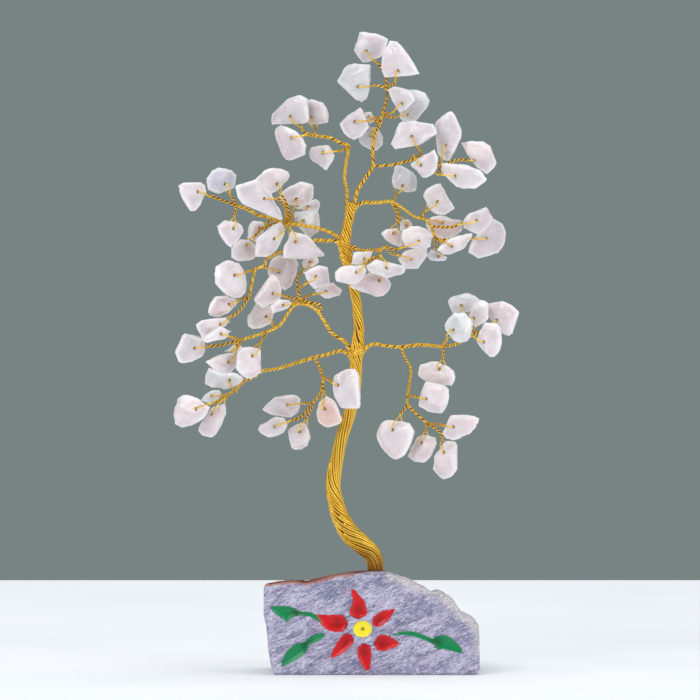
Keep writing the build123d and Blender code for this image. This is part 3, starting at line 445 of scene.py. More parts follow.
LEFT_LOW = Branch("left_low_branch", pivot=350, turn=-22, runs=[
    [(357, 351, 0), (342, 352, 0), (327, 355.5, 0), (312.5, 359, 0), (299, 363, 0), (276, 370, 0),
     (262, 372, 0), (254, 378, 0.1), (243.5, 382.5, 0.15), (235, 391, 0.2), (227, 396, 0.2)],
    [(314, 359, 0), (319, 367.5, -0.3), (323, 381, -0.6), (320, 395, -0.4), (313, 404, -0.2)],
], chips=[
    Chip("left_low_chip_1", "milky", (340, 386), -2,
         [(334.5, 378.5), (337.5, 374), (345, 370.5), (354, 370), (358, 374.5), (358.5, 389.5), (360, 407),
          (358, 410.5), (338.5, 410), (336, 402.5), (333.5, 389.5)],
         [(322, 378, -0.55)]),
    Chip("left_low_chip_2", "peach", (326, 410), -0.95,
         [(326.5, 397.5), (335, 403), (342.5, 423), (338, 426.5), (327.5, 429.5), (323.5, 428), (316.5, 423),
          (316, 414.5), (318, 405.5)],
         [(322.5, 383, -0.6)]),
    Chip("left_low_chip_3", "milky", (289, 406), 0.35,
         [(262.5, 410.5), (267.5, 404), (275, 398), (283, 396), (294, 396), (300.5, 399), (299, 405.5),
          (295.5, 413), (289.5, 418.5), (282, 418.5), (270.5, 415)],
         [(313, 404, -0.2)]),
    Chip("left_low_chip_4", "milky", (276, 428), -0.65,
         [(257.5, 430.5), (260.5, 425.5), (269, 421.5), (276, 418), (282.5, 418.5), (286.5, 426.5),
          (281.5, 435), (275, 437.5), (267.5, 439), (260.5, 435.5)],
         [(313, 404, -0.2), (301, 418)]),
    Chip("left_low_chip_5", "milky", (301, 433), 0.2,
         [(288, 431), (294, 427.5), (301.5, 424), (307, 426), (309.5, 435), (307, 447.5), (301.5, 450),
          (295.5, 451.5), (291, 449.5), (289, 442)],
         [(313, 404, -0.2), (309, 414)]),
    Chip("left_low_cluster", "clear", (230, 381), 1.15,
         [(204.5, 382), (208, 368.5), (221, 375.5), (235, 374.5), (242.5, 379), (239.5, 386), (224, 390.5),
          (214, 389), (204, 386)],
         [(235, 391, 0.2)]),
    Chip("left_low_cluster", "clear", (212, 397), 0.95,
         [(199.5, 402), (204.5, 395), (211, 391), (219, 392), (221, 397), (211, 405)],
         [(227, 396, 0.2)]),
    Chip("left_low_chip_6", "milky", (196, 410), -1.05,
         [(176, 399), (181, 396), (190.5, 396.5), (197.5, 401), (209, 408.5), (201.5, 420.5), (190.5, 426.5),
          (180, 429), (173, 425.5), (172.5, 414.5)],
         [(227, 396, 0.2), (217, 402, -0.8)]),
    Chip("left_low_cluster", "milky", (213, 415), -0.05,
         [(211, 409.5), (224, 404), (225, 416.5), (219, 425.5), (214, 437), (211, 439), (201.5, 437),
          (197.5, 432), (201.5, 421.5)],
         [(227, 396, 0.2)]),
])

RIGHT_LOW = Branch("right_low_branch", pivot=357, turn=-25, runs=[
    [(358, 346, 0), (372, 345.5, 0), (387, 347, 0), (401.5, 348, 0), (421, 346, 0), (442.5, 347.6, 0),
     (457, 345, 0), (472, 336.5, 0)],
    [(401.5, 348, 0), (404.5, 357, 0), (411, 370, 0), (410, 383, 0), (408, 397, 0), (408, 406, 0),
     (418, 416.5, 0), (427.5, 425, 0)],
], chips=[
    Chip("right_low_chip_1", "clear", (464, 306), 1.1,
         [(449, 301.5), (452, 298), (461, 295), (467.5, 294), (474, 296.5), (480, 301), (472, 312),
          (453.5, 315), (450, 304.5)],
         [(472, 336.5, 0), (468, 326, 0.9)]),
    Chip("right_low_chip_2", "milky", (476, 319), 0.1,
         [(480, 301), (485, 301), (489, 304), (488, 319.5), (484.5, 324), (476, 328), (472, 325),
          (469.5, 315)],
         [(472, 336.5, 0)]),
    Chip("right_low_chip_3", "clear", (454, 331), -1,
         [(444.5, 325), (448, 320.5), (454, 315.5), (464.5, 313.5), (469.5, 319.5), (472.5, 325),
          (470.5, 336.5), (467, 341.5), (460.5, 344), (455, 341.5), (450, 336.5), (445, 331)],
         [(442.5, 347.6, 0)]),
    Chip("right_low_chip_4", "milky", (500, 321), 1.1,
         [(489, 304), (494.5, 302), (504, 302), (512, 306), (519, 313), (515.5, 321.5), (513, 334.5),
          (509.5, 337), (506, 336), (502, 332), (492.5, 320), (488, 315)],
         [(472, 336.5, 0), (483, 331, 0.5)]),
    Chip("right_low_chip_5", "milky", (487, 343), -0.9,
         [(486.5, 323.5), (496, 324), (501, 328), (502.5, 335.5), (502.5, 343.5), (499.5, 352.5),
          (494, 358.5), (490, 358), (484.5, 351.5), (477.5, 343), (481, 334)],
         [(472, 336.5, 0)]),
    Chip("right_low_chip_6", "milky", (441, 370), 0.35,
         [(418.5, 374.5), (420.5, 365.5), (428.5, 366), (431, 362.5), (437, 363), (446.5, 367), (453, 372.5),
          (455.5, 378), (450.5, 387), (437, 385), (426.5, 383), (419.5, 378)],
         [(442.5, 347.6, 0), (444, 355)]),
    Chip("right_low_chip_7", "milky", (429, 400), -0.65,
         [(427.5, 383), (450.5, 387), (450.5, 399), (446.5, 409), (441, 415), (429.5, 414), (419.5, 409),
          (419, 404), (421.5, 395.5)],
         [(408, 397, 0)]),
    Chip("right_low_chip_8", "milky", (395, 431), -0.55,
         [(376.5, 435.5), (380.5, 426), (388, 421.5), (402.5, 422), (410, 425), (414.5, 433), (411, 445),
          (405.5, 456), (397, 461.5), (390, 458.5), (381.5, 448)],
         [(408, 406, 0), (401, 416)]),
    Chip("right_low_chip_9", "milky", (424, 444), 0.5,
         [(418, 438.5), (423.5, 436.5), (436, 438.5), (437, 444.5), (431, 459.5), (424.5, 464.5),
          (416, 463.5), (409, 458.5)],
         [(427.5, 425, 0)]),
    Chip("right_low_chip_10", "milky", (456, 428), -0.55,
         [(452.5, 416.5), (460, 417.5), (473.5, 416.5), (478.5, 419.5), (478, 430), (469.5, 436.5),
          (454, 442), (446.5, 440.5), (443, 434), (448.5, 426)],
         [(427.5, 425, 0)]),
    Chip("right_low_chip_11", "milky", (447, 454), 0.5,
         [(442.5, 446), (447.5, 442.5), (455, 443.5), (457.5, 447), (457, 462.5), (457.5, 471), (452.5, 478),
          (444.5, 481.5), (439, 478), (433.5, 471), (436, 458.5)],
         [(427.5, 425, 0), (440, 433, 0.3)]),
])

BRANCHES = [CROWN, RIGHT_UPPER, RIGHT_INNER, LEFT_TOP, LEFT_UPPER, LEFT_MIDDLE, LEFT_LOWER,
            LEFT_LOW, RIGHT_LOW]

# Wires that cross the trunk's front: pixel height, rise from left to right, and how many
CROSSINGS = [(350, 12, 3), (243, -10, 2), (262, -14, 1)]

# Carved motifs along their middle lines: x, y, and the half widths on the left and the right
PETALS = [
    [(358.6, 617.8, 0.5, 0.5), (358.7, 614, 8.1, 8.1), (358.4, 609.6, 8.7, 8.7), (358.6, 602.3, 6.6, 6.4),
     (356.2, 596.4, 3.9, 3.7), (354, 592, 2.9, 2.7), (352.4, 588.6, 1.2, 1.0)],
    [(372.4, 623.4, 0.5, 0.5), (375.2, 622, 4.6, 4.6), (378.4, 620, 6.1, 5.9), (382.5, 616.9, 6.1, 6.1),
     (387.6, 613.3, 4.5, 4.5), (392, 610.3, 2.3, 2.3), (394.4, 608.2, 0.6, 0.6)],
    [(374.9, 641.1, 0.5, 0.5), (377.4, 641.8, 6.8, 6.6), (383.2, 642.3, 8.2, 8.0), (389.1, 642.6, 6.9, 6.7),
     (395, 643.1, 4.1, 3.9), (398.5, 643.3, 1.9, 1.7), (400.6, 643.4, 0.4, 0.4)],
    [(363.4, 642.8, 0.5, 0.5), (363.9, 646.3, 6.3, 6.1), (364.4, 652.1, 7.1, 7.0), (365, 658, 6.3, 6.1),
     (366.4, 663.9, 4.5, 4.5), (367.6, 667.6, 2.9, 2.7), (368.3, 669.8, 1.0, 1.0)],
    [(351.9, 634.2, 0.5, 0.5), (348.9, 637.3, 6.2, 6.1), (344.3, 642.6, 6.7, 6.6), (339.9, 647.7, 5.7, 5.5),
     (335.5, 652.1, 3.8, 3.6), (332.4, 655.4, 1.9, 1.8), (331.6, 658, 0.4, 0.4)],
    [(347.5, 621.6, 0.5, 0.5), (344.3, 621.8, 7.1, 7.0), (339.2, 622.5, 8.8, 8.7), (333.3, 622.1, 8.7, 8.5),
     (327.5, 620.6, 7.3, 7.2), (322.3, 617.7, 4.5, 4.4), (318.7, 615.2, 1.9, 1.8), (316.3, 613.5, 0.3, 0.3)],
]
LEAVES = [
    [(321.4, 622.2, 0.4, 0.4), (318, 618.8, 1.6, 1.6), (314.3, 615.6, 2.1, 2.1), (308.4, 613.3, 2.1, 2.1),
     (299, 613, 2.3, 2.4), (293, 611.8, 4.9, 4.6), (287.9, 611.1, 10.2, 5.7), (284.2, 610.3, 7.6, 5.2),
     (279.1, 608.9, 6.0, 4.0), (273.9, 607.4, 3.3, 2.4), (268.6, 605.9, 0.3, 0.3)],
    [(324.4, 633.2, 0.5, 0.5), (321, 635, 3.0, 2.8), (317.2, 636.6, 3.7, 3.7), (310.6, 639.9, 3.6, 3.6),
     (306, 643.2, 3.0, 3.0), (302.5, 646.3, 5.5, 5.4), (297.4, 649.9, 7.1, 7.0), (292.3, 653.6, 6.6, 6.4),
     (287.9, 658, 5.1, 4.9), (284.2, 661.9, 3.0, 3.0), (281.6, 666.5, 0.4, 0.4)],
    [(393, 634.2, 0.3, 0.3), (400.8, 632.6, 1.5, 1.5), (409.6, 632.3, 2.1, 2.1), (418.4, 634.5, 2.3, 2.3),
     (427.2, 638, 2.1, 2.1), (433.1, 640.4, 2.6, 2.5), (436.8, 640.6, 5.6, 4.8), (440.4, 641.6, 7.6, 7.9),
     (445.2, 643.2, 8.4, 5.2), (450.7, 645.5, 7.4, 4.3), (456.6, 648, 5.0, 3.2), (461, 650.6, 2.5, 1.9),
     (463.4, 653, 0.3, 0.3)],
]
# The flower's round centre: x, y and its half width and half height
EYE = (362.7, 628.3, 9.5, 8.3)

# Where along a motif its painted shade is darkest, how far the paint reaches onto the stone's face
# and how thick it is there, and how deep its surface lies in the middle
PETAL_SHADE_SHARE = 0.3
LEAF_SHADE_SHARES = (0.5, 0.38, 0.6)
PAINT_BRIM = 0.3 * MM
PAINT_LIP = 0.05 * MM
PAINT_DISH = 0.62 * MM

# The paint's meshes: steps along a motif, its least half width, points across it, the most that
# a narrow one is dished, and the centre's rings, sides and dimple
MOTIF_STEP = 0.35 * MM
MOTIF_LEAST = 0.08 * MM
MOTIF_COLUMNS = 15
DISH_SHARE = 0.36
EYE_RINGS = 9
EYE_SIDES = 36
EYE_DIMPLE = 0.2 * MM

# The stone's front outline, which starts with its crusted top, and the part whose rim has crumbled
TOP_CORNERS = 6
STONE_OUTLINE = [
    (264, 584.5), (290, 581.5), (307, 583), (331.5, 577), (362, 573), (385, 573), (408, 580), (423.5, 587.5),
    (431, 592), (438.5, 591.5), (452.5, 600), (461.5, 613.5), (474, 619.5), (479, 626), (480, 639.5),
    (480.5, 655), (480.5, 667), (475.5, 673.3), (438.5, 674.5), (316, 674.5), (275, 673), (272, 667),
    (268, 645.5), (266.5, 626), (263, 610.5), (263.5, 590.5),
]
STONE_RIM = [
    (392, 575), (408, 580), (423.5, 587.5), (438.5, 591.5), (452.5, 600), (461.5, 613.5), (474, 619.5),
    (480, 632), (480.5, 650),
]
STONE_RIM_WIDTH = 1.8 * MM
RIM_FROM_PIXEL = 385
RIM_TO_PIXEL = 640

# The stone's waves: their width, their seed and how many finer ones lie on them
BROKEN_WAVE = (5 * MM, 3, 2)
SPLIT_WAVE = (2.0 * MM, 5, 3)
CRUMBLE_WAVE = (1.7 * MM, 11, 3)
SAW_WAVE = (1.3 * MM, 14, 3)
RIM_WAVE = (3 * MM, 21, 2)
CRUST_WAVE = (12 * MM, 31, 2)

# The red crust on the stone's top: where it ends, how far that end sways and slants towards the
# back, and how softly it ends. Its pale seam runs along the front's top edge, and along the foot
# painted shade darkens the stone.
CRUST_END_PIXEL = 358
CRUST_SWAY = 9 * MM
CRUST_SLANT = 16 * MM
CRUST_FADE = 4 * MM
SEAM_WIDTH = 0.7 * MM
SEAM_FADE = 3 * MM
FOOT_SHADE = 1.0 * MM

# Fillings of the gouges and the socket, and how far from a sawn face a point still belongs to it
FACE_FILL = 2.4 * MM
PLUG_SIDES = 16
PLUG_PLAY = 0.5 * MM
PLUG_DEEPER = 1 * MM
SOCKET_SIDES = 40
SAWN_REACH = 0.6 * MM

# Quartz: the body's colour, its veils, its blush, how cloudy and how clear it is
TONES = {
    "milky": ((222, 212, 215), (240, 236, 238), (228, 208, 210), 0.7, 0.08),
    "clear": ((222, 228, 230), (246, 246, 246), (224, 220, 224), 0.6, 0.2),
    "lilac": ((214, 218, 234), (242, 242, 248), (224, 216, 232), 0.6, 0.18),
    "pink": ((230, 208, 211), (242, 232, 234), (232, 196, 200), 0.6, 0.08),
    "peach": ((236, 206, 196), (242, 226, 218), (232, 184, 168), 0.5, 0.08),
}

# Lamps: name, place, size and power, and the point that they face
LAMP_AIM = (0, 0, 0.09)
LAMPS = [
    ("Key", (-0.9, -1.5, 1.3), 1.1, 16),
    ("Fill", (1.3, -1.2, 0.7), 1.2, 9),
    ("Top", (0.1, 0.2, 1.8), 1.0, 8),
]

# The photograph's view, and the near edge and half width of its table
TABLE_NEAR = -3.2
TABLE_HALF_WIDTH = 3.0
VIEW_ELEVATION = radians(3.2)
VIEW_DISTANCE = 8.0
VIEW_ZOOM = 0.9945
VIEW_CENTRE_PIXEL = 350
SENSOR = 36.0
PICTURE_PIXELS = 700
HORIZON_PIXEL = 581.5


def srgb(red, green, blue):
    """A colour for a shader, from the 0 to 255 values that a picture shows."""
    values = []
    for value in (red, green, blue):
        share = value / 255
        values.append(share / 12.92 if share <= 0.04045 else ((share + 0.055) / 1.055) ** 2.4)
    return (*values, 1.0)


def place(x, y, depth=0.0, branch=None):
    """A point of the tree from a pixel and a depth in layers behind the trunk."""
    height = STONE_HIGH.z + (FOOT_Y_PIXEL - y) * TREE_SCALE
    back = depth * LAYER
    if branch is None:
        return np.array([FOOT_X + (x - FOOT_X_PIXEL) * TREE_SCALE, back, height])
    turn = radians(branch.turn)
    pivot = FOOT_X + (branch.pivot - FOOT_X_PIXEL) * TREE_SCALE
    across = ((x - branch.pivot) * TREE_SCALE + back * sin(turn)) / cos(turn)
    back = across * sin(turn) + back * cos(turn)
    return np.array([pivot + (x - branch.pivot) * TREE_SCALE, back, height - back * tan(PLACED_ELEVATION)])


def branch_axes(branch):
    """The direction across a branch's own plane, and the direction behind it."""
    turn = radians(branch.turn)
    return np.array([cos(turn), sin(turn), 0.0]), np.array([-sin(turn), cos(turn), 0.0])


def chip_hole(branch, chip):
    """The middle of a chip's hole."""
    return place(*chip.hole, chip.depth, branch)


def stone_place(x, y):
    """X and Z on the stone's front face, from a pixel."""
    middle = (STONE_LEFT_PIXEL + STONE_RIGHT_PIXEL) / 2
    return np.array([(x - middle) * STONE_X_SCALE, (STONE_BOTTOM_PIXEL - y) * STONE_Z_SCALE])


def spline(points, step):
    """A smooth line through points, as closely spaced rows. Further columns are carried along."""
    points = np.array(points, float)
    knots = np.vstack([2 * points[0] - points[1], points, 2 * points[-1] - points[-2]])
    rows = []
    for index in range(1, len(knots) - 2):
        before, start, end, after = knots[index - 1:index + 3]
        count = max(2, int(np.linalg.norm((end - start)[:3]) / step))
        share = (np.arange(count) / count)[:, None]
        rows.append(0.5 * (2 * start + (end - before) * share
                           + (2 * before - 5 * start + 4 * end - after) * share ** 2
                           + (3 * start - before - 3 * end + after) * share ** 3))
    rows.append(points[-1:])
    return np.vstack(rows)


def rounded(points, radius, parts=5):
    """A line of straight runs with its corners rounded off."""
    points = [np.array(point, float) for point in points]
    rows = [points[0]]
    for before, corner, after in zip(points, points[1:], points[2:]):
        inward = before - corner
        outward = after - corner
        low = corner + inward * min(0.48, radius / np.linalg.norm(inward))
        high = corner + outward * min(0.48, radius / np.linalg.norm(outward))
        for step in range(parts + 1):
            share = step / parts
            rows.append((1 - share) ** 2 * low + 2 * share * (1 - share) * corner + share ** 2 * high)
    rows.append(points[-1])
    return np.array(rows)


def unit(vectors):
    """Vectors of the same direction and a length of 1."""
    return vectors / np.maximum(np.linalg.norm(vectors, axis=-1, keepdims=True), 1e-12)


def lengths_along(points):
    """The length of a line from its start to each of its points."""
    return np.concatenate([[0], np.cumsum(np.linalg.norm(np.diff(points, axis=0), axis=1))])


def line_frames(path):
    """Length along a path, its direction, and two directions across it that don't spin."""
    along = lengths_along(path)
    heading = unit(np.gradient(path, axis=0))
    across = np.zeros_like(path)
    first = np.array([1.0, 0, 0]) if abs(heading[0][0]) < 0.9 else np.array([0, 0, 1.0])
    last = first
    for index, direction in enumerate(heading):
        last = last - direction * last.dot(direction)
        last = last / np.linalg.norm(last)
        across[index] = last
    return along, heading, across, np.cross(heading, across)


class Wires:
    """Gathers strands of wire and makes one mesh object of them."""

    def __init__(self):
        self.points = []
        self.faces = []
        self.tones = []
        self.crests = []
        self.count = 0

    def add(self, path, frames, orbit, angle, radius, tone, sides=6, crest=None):
        """One strand that circles a path at an orbit and an angle, with closed ends.

        Where no crest is given, it is 1 on the side that faces out of the bundle and -1 inside.
        """
        # The crest sets the gold's painted shade where it is low and its painted highlight where it is high
        heading, across, over = frames[1:]
        orbit = np.broadcast_to(orbit, len(path))[:, None]
        angle = np.broadcast_to(angle, len(path))[:, None]
        radius = np.broadcast_to(radius, len(path))[:, None, None]
        outward = across * np.cos(angle) + over * np.sin(angle)
        centre = path + outward * orbit
        direction = unit(np.gradient(centre, axis=0))
        beside = unit(np.cross(direction, outward))
        outward = np.cross(beside, direction)
        turn = np.arange(sides) * 2 * pi / sides
        ring = outward[:, None] * np.cos(turn)[None, :, None] + beside[:, None] * np.sin(turn)[None, :, None]
        self.points.append((centre[:, None] + ring * radius).reshape(-1, 3))
        side = np.arange(sides)
        after = (side + 1) % sides
        for row in range(len(path) - 1):
            low = self.count + row * sides
            high = low + sides
            self.faces.extend(zip(low + side, low + after, high + after, high + side))
        end = self.count + (len(path) - 1) * sides
        self.faces.append(tuple(self.count + side[::-1]))
        self.faces.append(tuple(end + side))
        self.tones.append(np.full(len(path) * sides, tone))
        self.crests.append(np.tile(np.cos(turn) if crest is None else np.full(sides, crest), len(path)))
        self.count += len(path) * sides

    def make(self, name, material):
        """The object, with each point's tone and crest for its material."""
        piece = new_object(name, np.vstack(self.points), self.faces, material)
        give(piece, "tone", np.concatenate(self.tones))
        give(piece, "crest", np.concatenate(self.crests))
        return piece


def new_object(name, points, faces, material, smooth=True):
    """A mesh object in the frame that the CAD has, with its faces shaded smooth."""
    mesh = bpy.data.meshes.new(name)
    mesh.from_pydata([tuple(point) for point in points], [], [tuple(int(i) for i in face) for face in faces])
    mesh.update()
    if smooth:
        mesh.shade_smooth()
    mesh.materials.append(material)
    piece = bpy.data.objects.new(name, mesh)
    bpy.context.scene.collection.objects.link(piece)
    return piece


def discard(spare):
    """Removes an object that was only a help, and its mesh."""
    mesh = spare.data
    bpy.data.objects.remove(spare)
    bpy.data.meshes.remove(mesh)


def round_cutter(radius, depth, sides, centre=(0, 0, 0), lean=0.0):
    """A round object to cut with, upright or leant about the X axis."""
    shape = bmesh.new()
    bmesh.ops.create_cone(shape, cap_ends=True, segments=sides, radius1=radius, radius2=radius, depth=depth)
    bmesh.ops.rotate(shape, verts=shape.verts, cent=(0, 0, 0), matrix=Matrix.Rotation(lean, 3, "X"))
    bmesh.ops.translate(shape, verts=shape.verts, vec=centre)
    mesh = bpy.data.meshes.new("cutter")
    shape.to_mesh(mesh)
    shape.free()
    cutter = bpy.data.objects.new("cutter", mesh)
    bpy.context.scene.collection.objects.link(cutter)
    return cutter


def remeshed(points, faces, voxel, hole=None):
    """A closed surface made again with even faces, as points and faces in metres.

    The voxel's size is in metres. A hole, where one is given, is an object cut out afterwards.
    """
    mesh = bpy.data.meshes.new("draft")
    mesh.from_pydata([tuple(point) for point in np.array(points) / MM], [], faces)
    draft = bpy.data.objects.new("draft", mesh)
    bpy.context.scene.collection.objects.link(draft)
    if voxel:
        even = draft.modifiers.new("even", "REMESH")
        even.mode = "VOXEL"
        even.voxel_size = voxel / MM
    if hole:
        drill = draft.modifiers.new("drill", "BOOLEAN")
        drill.operation = "DIFFERENCE"
        drill.solver = "MANIFOLD"
        drill.object = hole
    evaluated = draft.evaluated_get(bpy.context.evaluated_depsgraph_get())
    result = evaluated.to_mesh()
    places = np.empty(len(result.vertices) * 3)
    result.vertices.foreach_get("co", places)
    sides = [tuple(polygon.vertices) for polygon in result.polygons]
    evaluated.to_mesh_clear()
    discard(draft)
    if not sides:
        raise RuntimeError("A surface came out with no faces")
    return places.reshape(-1, 3) * MM, sides


def hull(points):
    """Points and faces of the convex solid round some points."""
    shape = bmesh.new()
    for point in points:
        shape.verts.new(point)
    result = bmesh.ops.convex_hull(shape, input=shape.verts)
    spare = {item for item in result["geom_interior"] + result["geom_unused"]
             if isinstance(item, bmesh.types.BMVert)}
    bmesh.ops.delete(shape, geom=list(spare), context="VERTS")
    shape.verts.index_update()
    corners = [tuple(vertex.co) for vertex in shape.verts]
    faces = [tuple(vertex.index for vertex in face.verts) for face in shape.faces]
    shape.free()
    return np.array(corners), faces


def sliced(points, faces, facing, reach):
    """A convex solid without what lies beyond a plane that faces a way and is at a distance."""
    shape = bmesh.new()
    corners = [shape.verts.new(point) for point in points]
    for face in faces:
        shape.faces.new([corners[index] for index in face])
    pieces = shape.verts[:] + shape.edges[:] + shape.faces[:]
    bmesh.ops.bisect_plane(shape, geom=pieces, plane_co=facing * reach, plane_no=facing, clear_outer=True)
    rest = [tuple(vertex.co) for vertex in shape.verts]
    shape.free()
    return hull(rest)


def neighbours(faces, count):
    """The edges of a surface, both ways round, and how many meet at each point."""
    pairs = set()
    for face in faces:
        for start, end in zip(face, face[1:] + face[:1]):
            pairs.add((start, end))
            pairs.add((end, start))
    pairs = np.array(sorted(pairs))
    return pairs, np.maximum(np.bincount(pairs[:, 0], minlength=count), 1)[:, None]


def smoothed(points, links, rounds, pull=0.5):
    """Points drawn towards the middle of their neighbours, a few times over."""
    pairs, shared = links
    for _ in range(rounds):
        total = np.zeros_like(points)
        np.add.at(total, pairs[:, 0], points[pairs[:, 1]])
        points = points + (total / shared - points) * pull
    return points


def outward(points, faces):
    """The direction out of a closed surface at each of its points."""
    corners = np.array([(face[0], face[1], face[2], face[-1]) for face in faces])
    ground = np.cross(points[corners[:, 2]] - points[corners[:, 0]],
                      points[corners[:, 3]] - points[corners[:, 1]])
    total = np.zeros_like(points)
    for column in range(4):
        np.add.at(total, corners[:, column], ground)
    return unit(total)


def waves(points, size, seed, octaves=2):
    """Smooth noise between about -1 and 1 at each point. Size is the waves' width in metres."""
    shift = Vector((seed * 7.3, seed * 3.1, seed * 5.7))
    values = [noise.fractal(Vector(point) / size + shift, 0.6, 2.1, octaves) for point in points]
    return np.array(values)


def give(piece, name, values):
    """Stores a value for each point of a mesh, for its material to read."""
    layer = piece.data.attributes.new(name, "FLOAT", "POINT")
    layer.data.foreach_set("value", np.asarray(values, np.float32))


def seat(piece, slot, *nodes):
    """Puts a finished piece on the tree's body in place of its nodes."""
    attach(piece, "tree")
    if nodes:
        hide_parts(*nodes)


class Nodes:
    """Writes a shader in few words."""

    def __init__(self, tree):
        self.tree = tree

    def fill(self, node, values):
        """Fills a node's inputs. A value that is a socket is linked, any other is set."""
        for key, value in values.items():
            socket = node.inputs[key]
            if isinstance(value, bpy.types.NodeSocket):
                self.tree.links.new(value, socket)
            else:
                socket.default_value = value

    def add(self, kind, values=None, **settings):
        """A new node with its own settings and with its inputs filled."""
        node = self.tree.nodes.new(kind)
        for key, value in settings.items():
            setattr(node, key, value)
        self.fill(node, values or {})
        return node

    def mix(self, share, first, second):
        """Two colours mixed by a share."""
        return self.add("ShaderNodeMix", {0: share, 6: first, 7: second}, data_type="RGBA").outputs[2]

    def coats(self, colour, *layers):
        """A colour under further ones, each given as its share, the most of it and its colour."""
        for share, most, coat in layers:
            colour = self.mix(share if most == 1 else self.times(share, most), colour, coat)
        return colour

    def sums(self, operation, first, second=0.0):
        """One step of arithmetic on one or two values."""
        return self.add("ShaderNodeMath", {0: first, 1: second}, operation=operation).outputs[0]

    def times(self, first, second):
        """The product of two values."""
        return self.sums("MULTIPLY", first, second)

    def between(self, value, low, high, start=0.0, end=1.0):
        """A value spread from one range over another, and held inside it."""
        node = self.add("ShaderNodeMapRange", {0: value, 1: low, 2: high, 3: start, 4: end})
        return node.outputs[0]

    def noise(self, place, scale, detail=3.0, roughness=0.55, distortion=0.0):
        """Cloudy noise between 0 and 1."""
        node = self.add("ShaderNodeTexNoise", {"Vector": place, "Scale": scale, "Detail": detail,
                                               "Roughness": roughness, "Distortion": distortion})
        return node.outputs[0]

    def attribute(self, name):
        """A value that is stored at the mesh's points."""
        return self.add("ShaderNodeAttribute", attribute_name=name).outputs["Fac"]

    def place(self, scale=(1, 1, 1), turn=(0, 0, 0)):
        """The place on the object in millimetres, turned and then stretched."""
        start = self.add("ShaderNodeTexCoord").outputs["Object"]
        large = self.add("ShaderNodeVectorMath", {0: start, 1: (1 / MM, 1 / MM, 1 / MM)},
                         operation="MULTIPLY")
        spun = self.add("ShaderNodeMapping", {"Vector": large.outputs[0], "Rotation": turn},
                        vector_type="POINT")
        drawn = self.add("ShaderNodeVectorMath", {0: spun.outputs[0], 1: scale}, operation="MULTIPLY")
        return drawn.outputs[0]

    def bump(self, height, strength, distance):
        """A surface that looks raised where the height is large."""
        values = {"Height": height, "Strength": strength, "Distance": distance}
        return self.add("ShaderNodeBump", values).outputs[0]


def new_group(name, inputs, outputs):
    """An empty node group. Inputs are name, kind and default; outputs are name and kind."""
    group = bpy.data.node_groups.new(name, "ShaderNodeTree")
    for title, kind, default in inputs:
        socket = group.interface.new_socket(title, in_out="INPUT", socket_type=kind)
        socket.default_value = default
    for title, kind in outputs:
        group.interface.new_socket(title, in_out="OUTPUT", socket_type=kind)
    nodes = Nodes(group)
    return group, nodes, nodes.add("NodeGroupInput").outputs, nodes.add("NodeGroupOutput")


def veils_group():
    """Cloudy veils and healed cracks inside quartz, and the small pits of its tumbled skin."""
    group = bpy.data.node_groups.get("Quartz veils")
    if group:
        return group
    group, nodes, given, result = new_group(
        "Quartz veils",
        [("Body", "NodeSocketColor", (0.7, 0.6, 0.6, 1)), ("Veil", "NodeSocketColor", (0.9, 0.9, 0.9, 1)),
         ("Blush", "NodeSocketColor", (0.8, 0.5, 0.5, 1)), ("Cloud", "NodeSocketFloat", 0.5)],
        [("Color", "NodeSocketColor"), ("Roughness", "NodeSocketFloat"), ("Height", "NodeSocketFloat")])
    place = nodes.place()
    clouds = nodes.noise(place, 0.2, 3.0, 0.5, 0.9)
    bands = nodes.noise(nodes.place((0.2, 0.2, 0.7), (0.5, 0.4, 0)), 0.9, 4.0, 0.6, 1.2)
    cracks = nodes.noise(nodes.place((1, 1, 0.35), (0.9, 0.2, 0.4)), 0.8, 2.0, 0.5, 2.0)
    line = nodes.sums("ABSOLUTE", nodes.sums("SUBTRACT", cracks, 0.5))
    vein = nodes.between(line, 0.0, 0.018, 1.0, 0.0)
    colour = nodes.coats(
        given["Body"],
        (nodes.between(clouds, 0.42, 0.66), given["Cloud"], given["Veil"]),
        (nodes.between(bands, 0.5, 0.8), 0.5, given["Veil"]),
        (nodes.attribute("blush"), 0.75, given["Blush"]),
        (vein, 0.45, given["Veil"]),
        # Painted shade, greyer on the higher chips, with some random tone in it
        (nodes.attribute("shade"), 0.72, srgb(192, 188, 194)),
        # Painted light: a paler rim along the chip's thin edge, where light would shine through
        (nodes.attribute("thin"), 0.8, srgb(246, 244, 246)))
    pits = nodes.noise(place, 3.2, 2.0, 0.6)
    nodes.fill(result, {"Color": colour, "Roughness": nodes.between(pits, 0.3, 0.75, 0.14, 0.34),
                        "Height": nodes.sums("ADD", pits, nodes.times(nodes.noise(place, 0.6, 2.0), 2.0))})
    return group


def enamel_group():
    """Hand-brushed enamel: painted shade where it lies deep, thinner and paler along its edge."""
    group = bpy.data.node_groups.get("Brushed enamel")
    if group:
        return group
    group, nodes, given, result = new_group(
        "Brushed enamel",
        [("Coat", "NodeSocketColor", (0.5, 0.1, 0.1, 1)), ("Painted shade", "NodeSocketColor", (0.2, 0.1, 0.1, 1))],
        [("Color", "NodeSocketColor"), ("Roughness", "NodeSocketFloat"), ("Height", "NodeSocketFloat")])
    strokes = nodes.noise(nodes.place((1, 1, 0.4), (0, 0.5, 0)), 1.4, 3.0, 0.6, 0.5)
    specks = nodes.noise(nodes.place(), 5.0, 2.0)
    colour = nodes.coats(
        given["Coat"],
        # Painted shade in the deepest part of the hollow
        (nodes.attribute("deep"), nodes.between(strokes, 0.2, 0.8, 0.8, 1.0), given["Painted shade"]),
        (nodes.attribute("edge"), nodes.between(specks, 0.45, 0.7, 0.0, 0.175), srgb(196, 188, 204)))
    nodes.fill(result, {"Color": colour, "Roughness": nodes.between(strokes, 0.3, 0.7, 0.24, 0.4),
                        "Height": nodes.sums("ADD", strokes, nodes.times(specks, 0.2))})
    return group


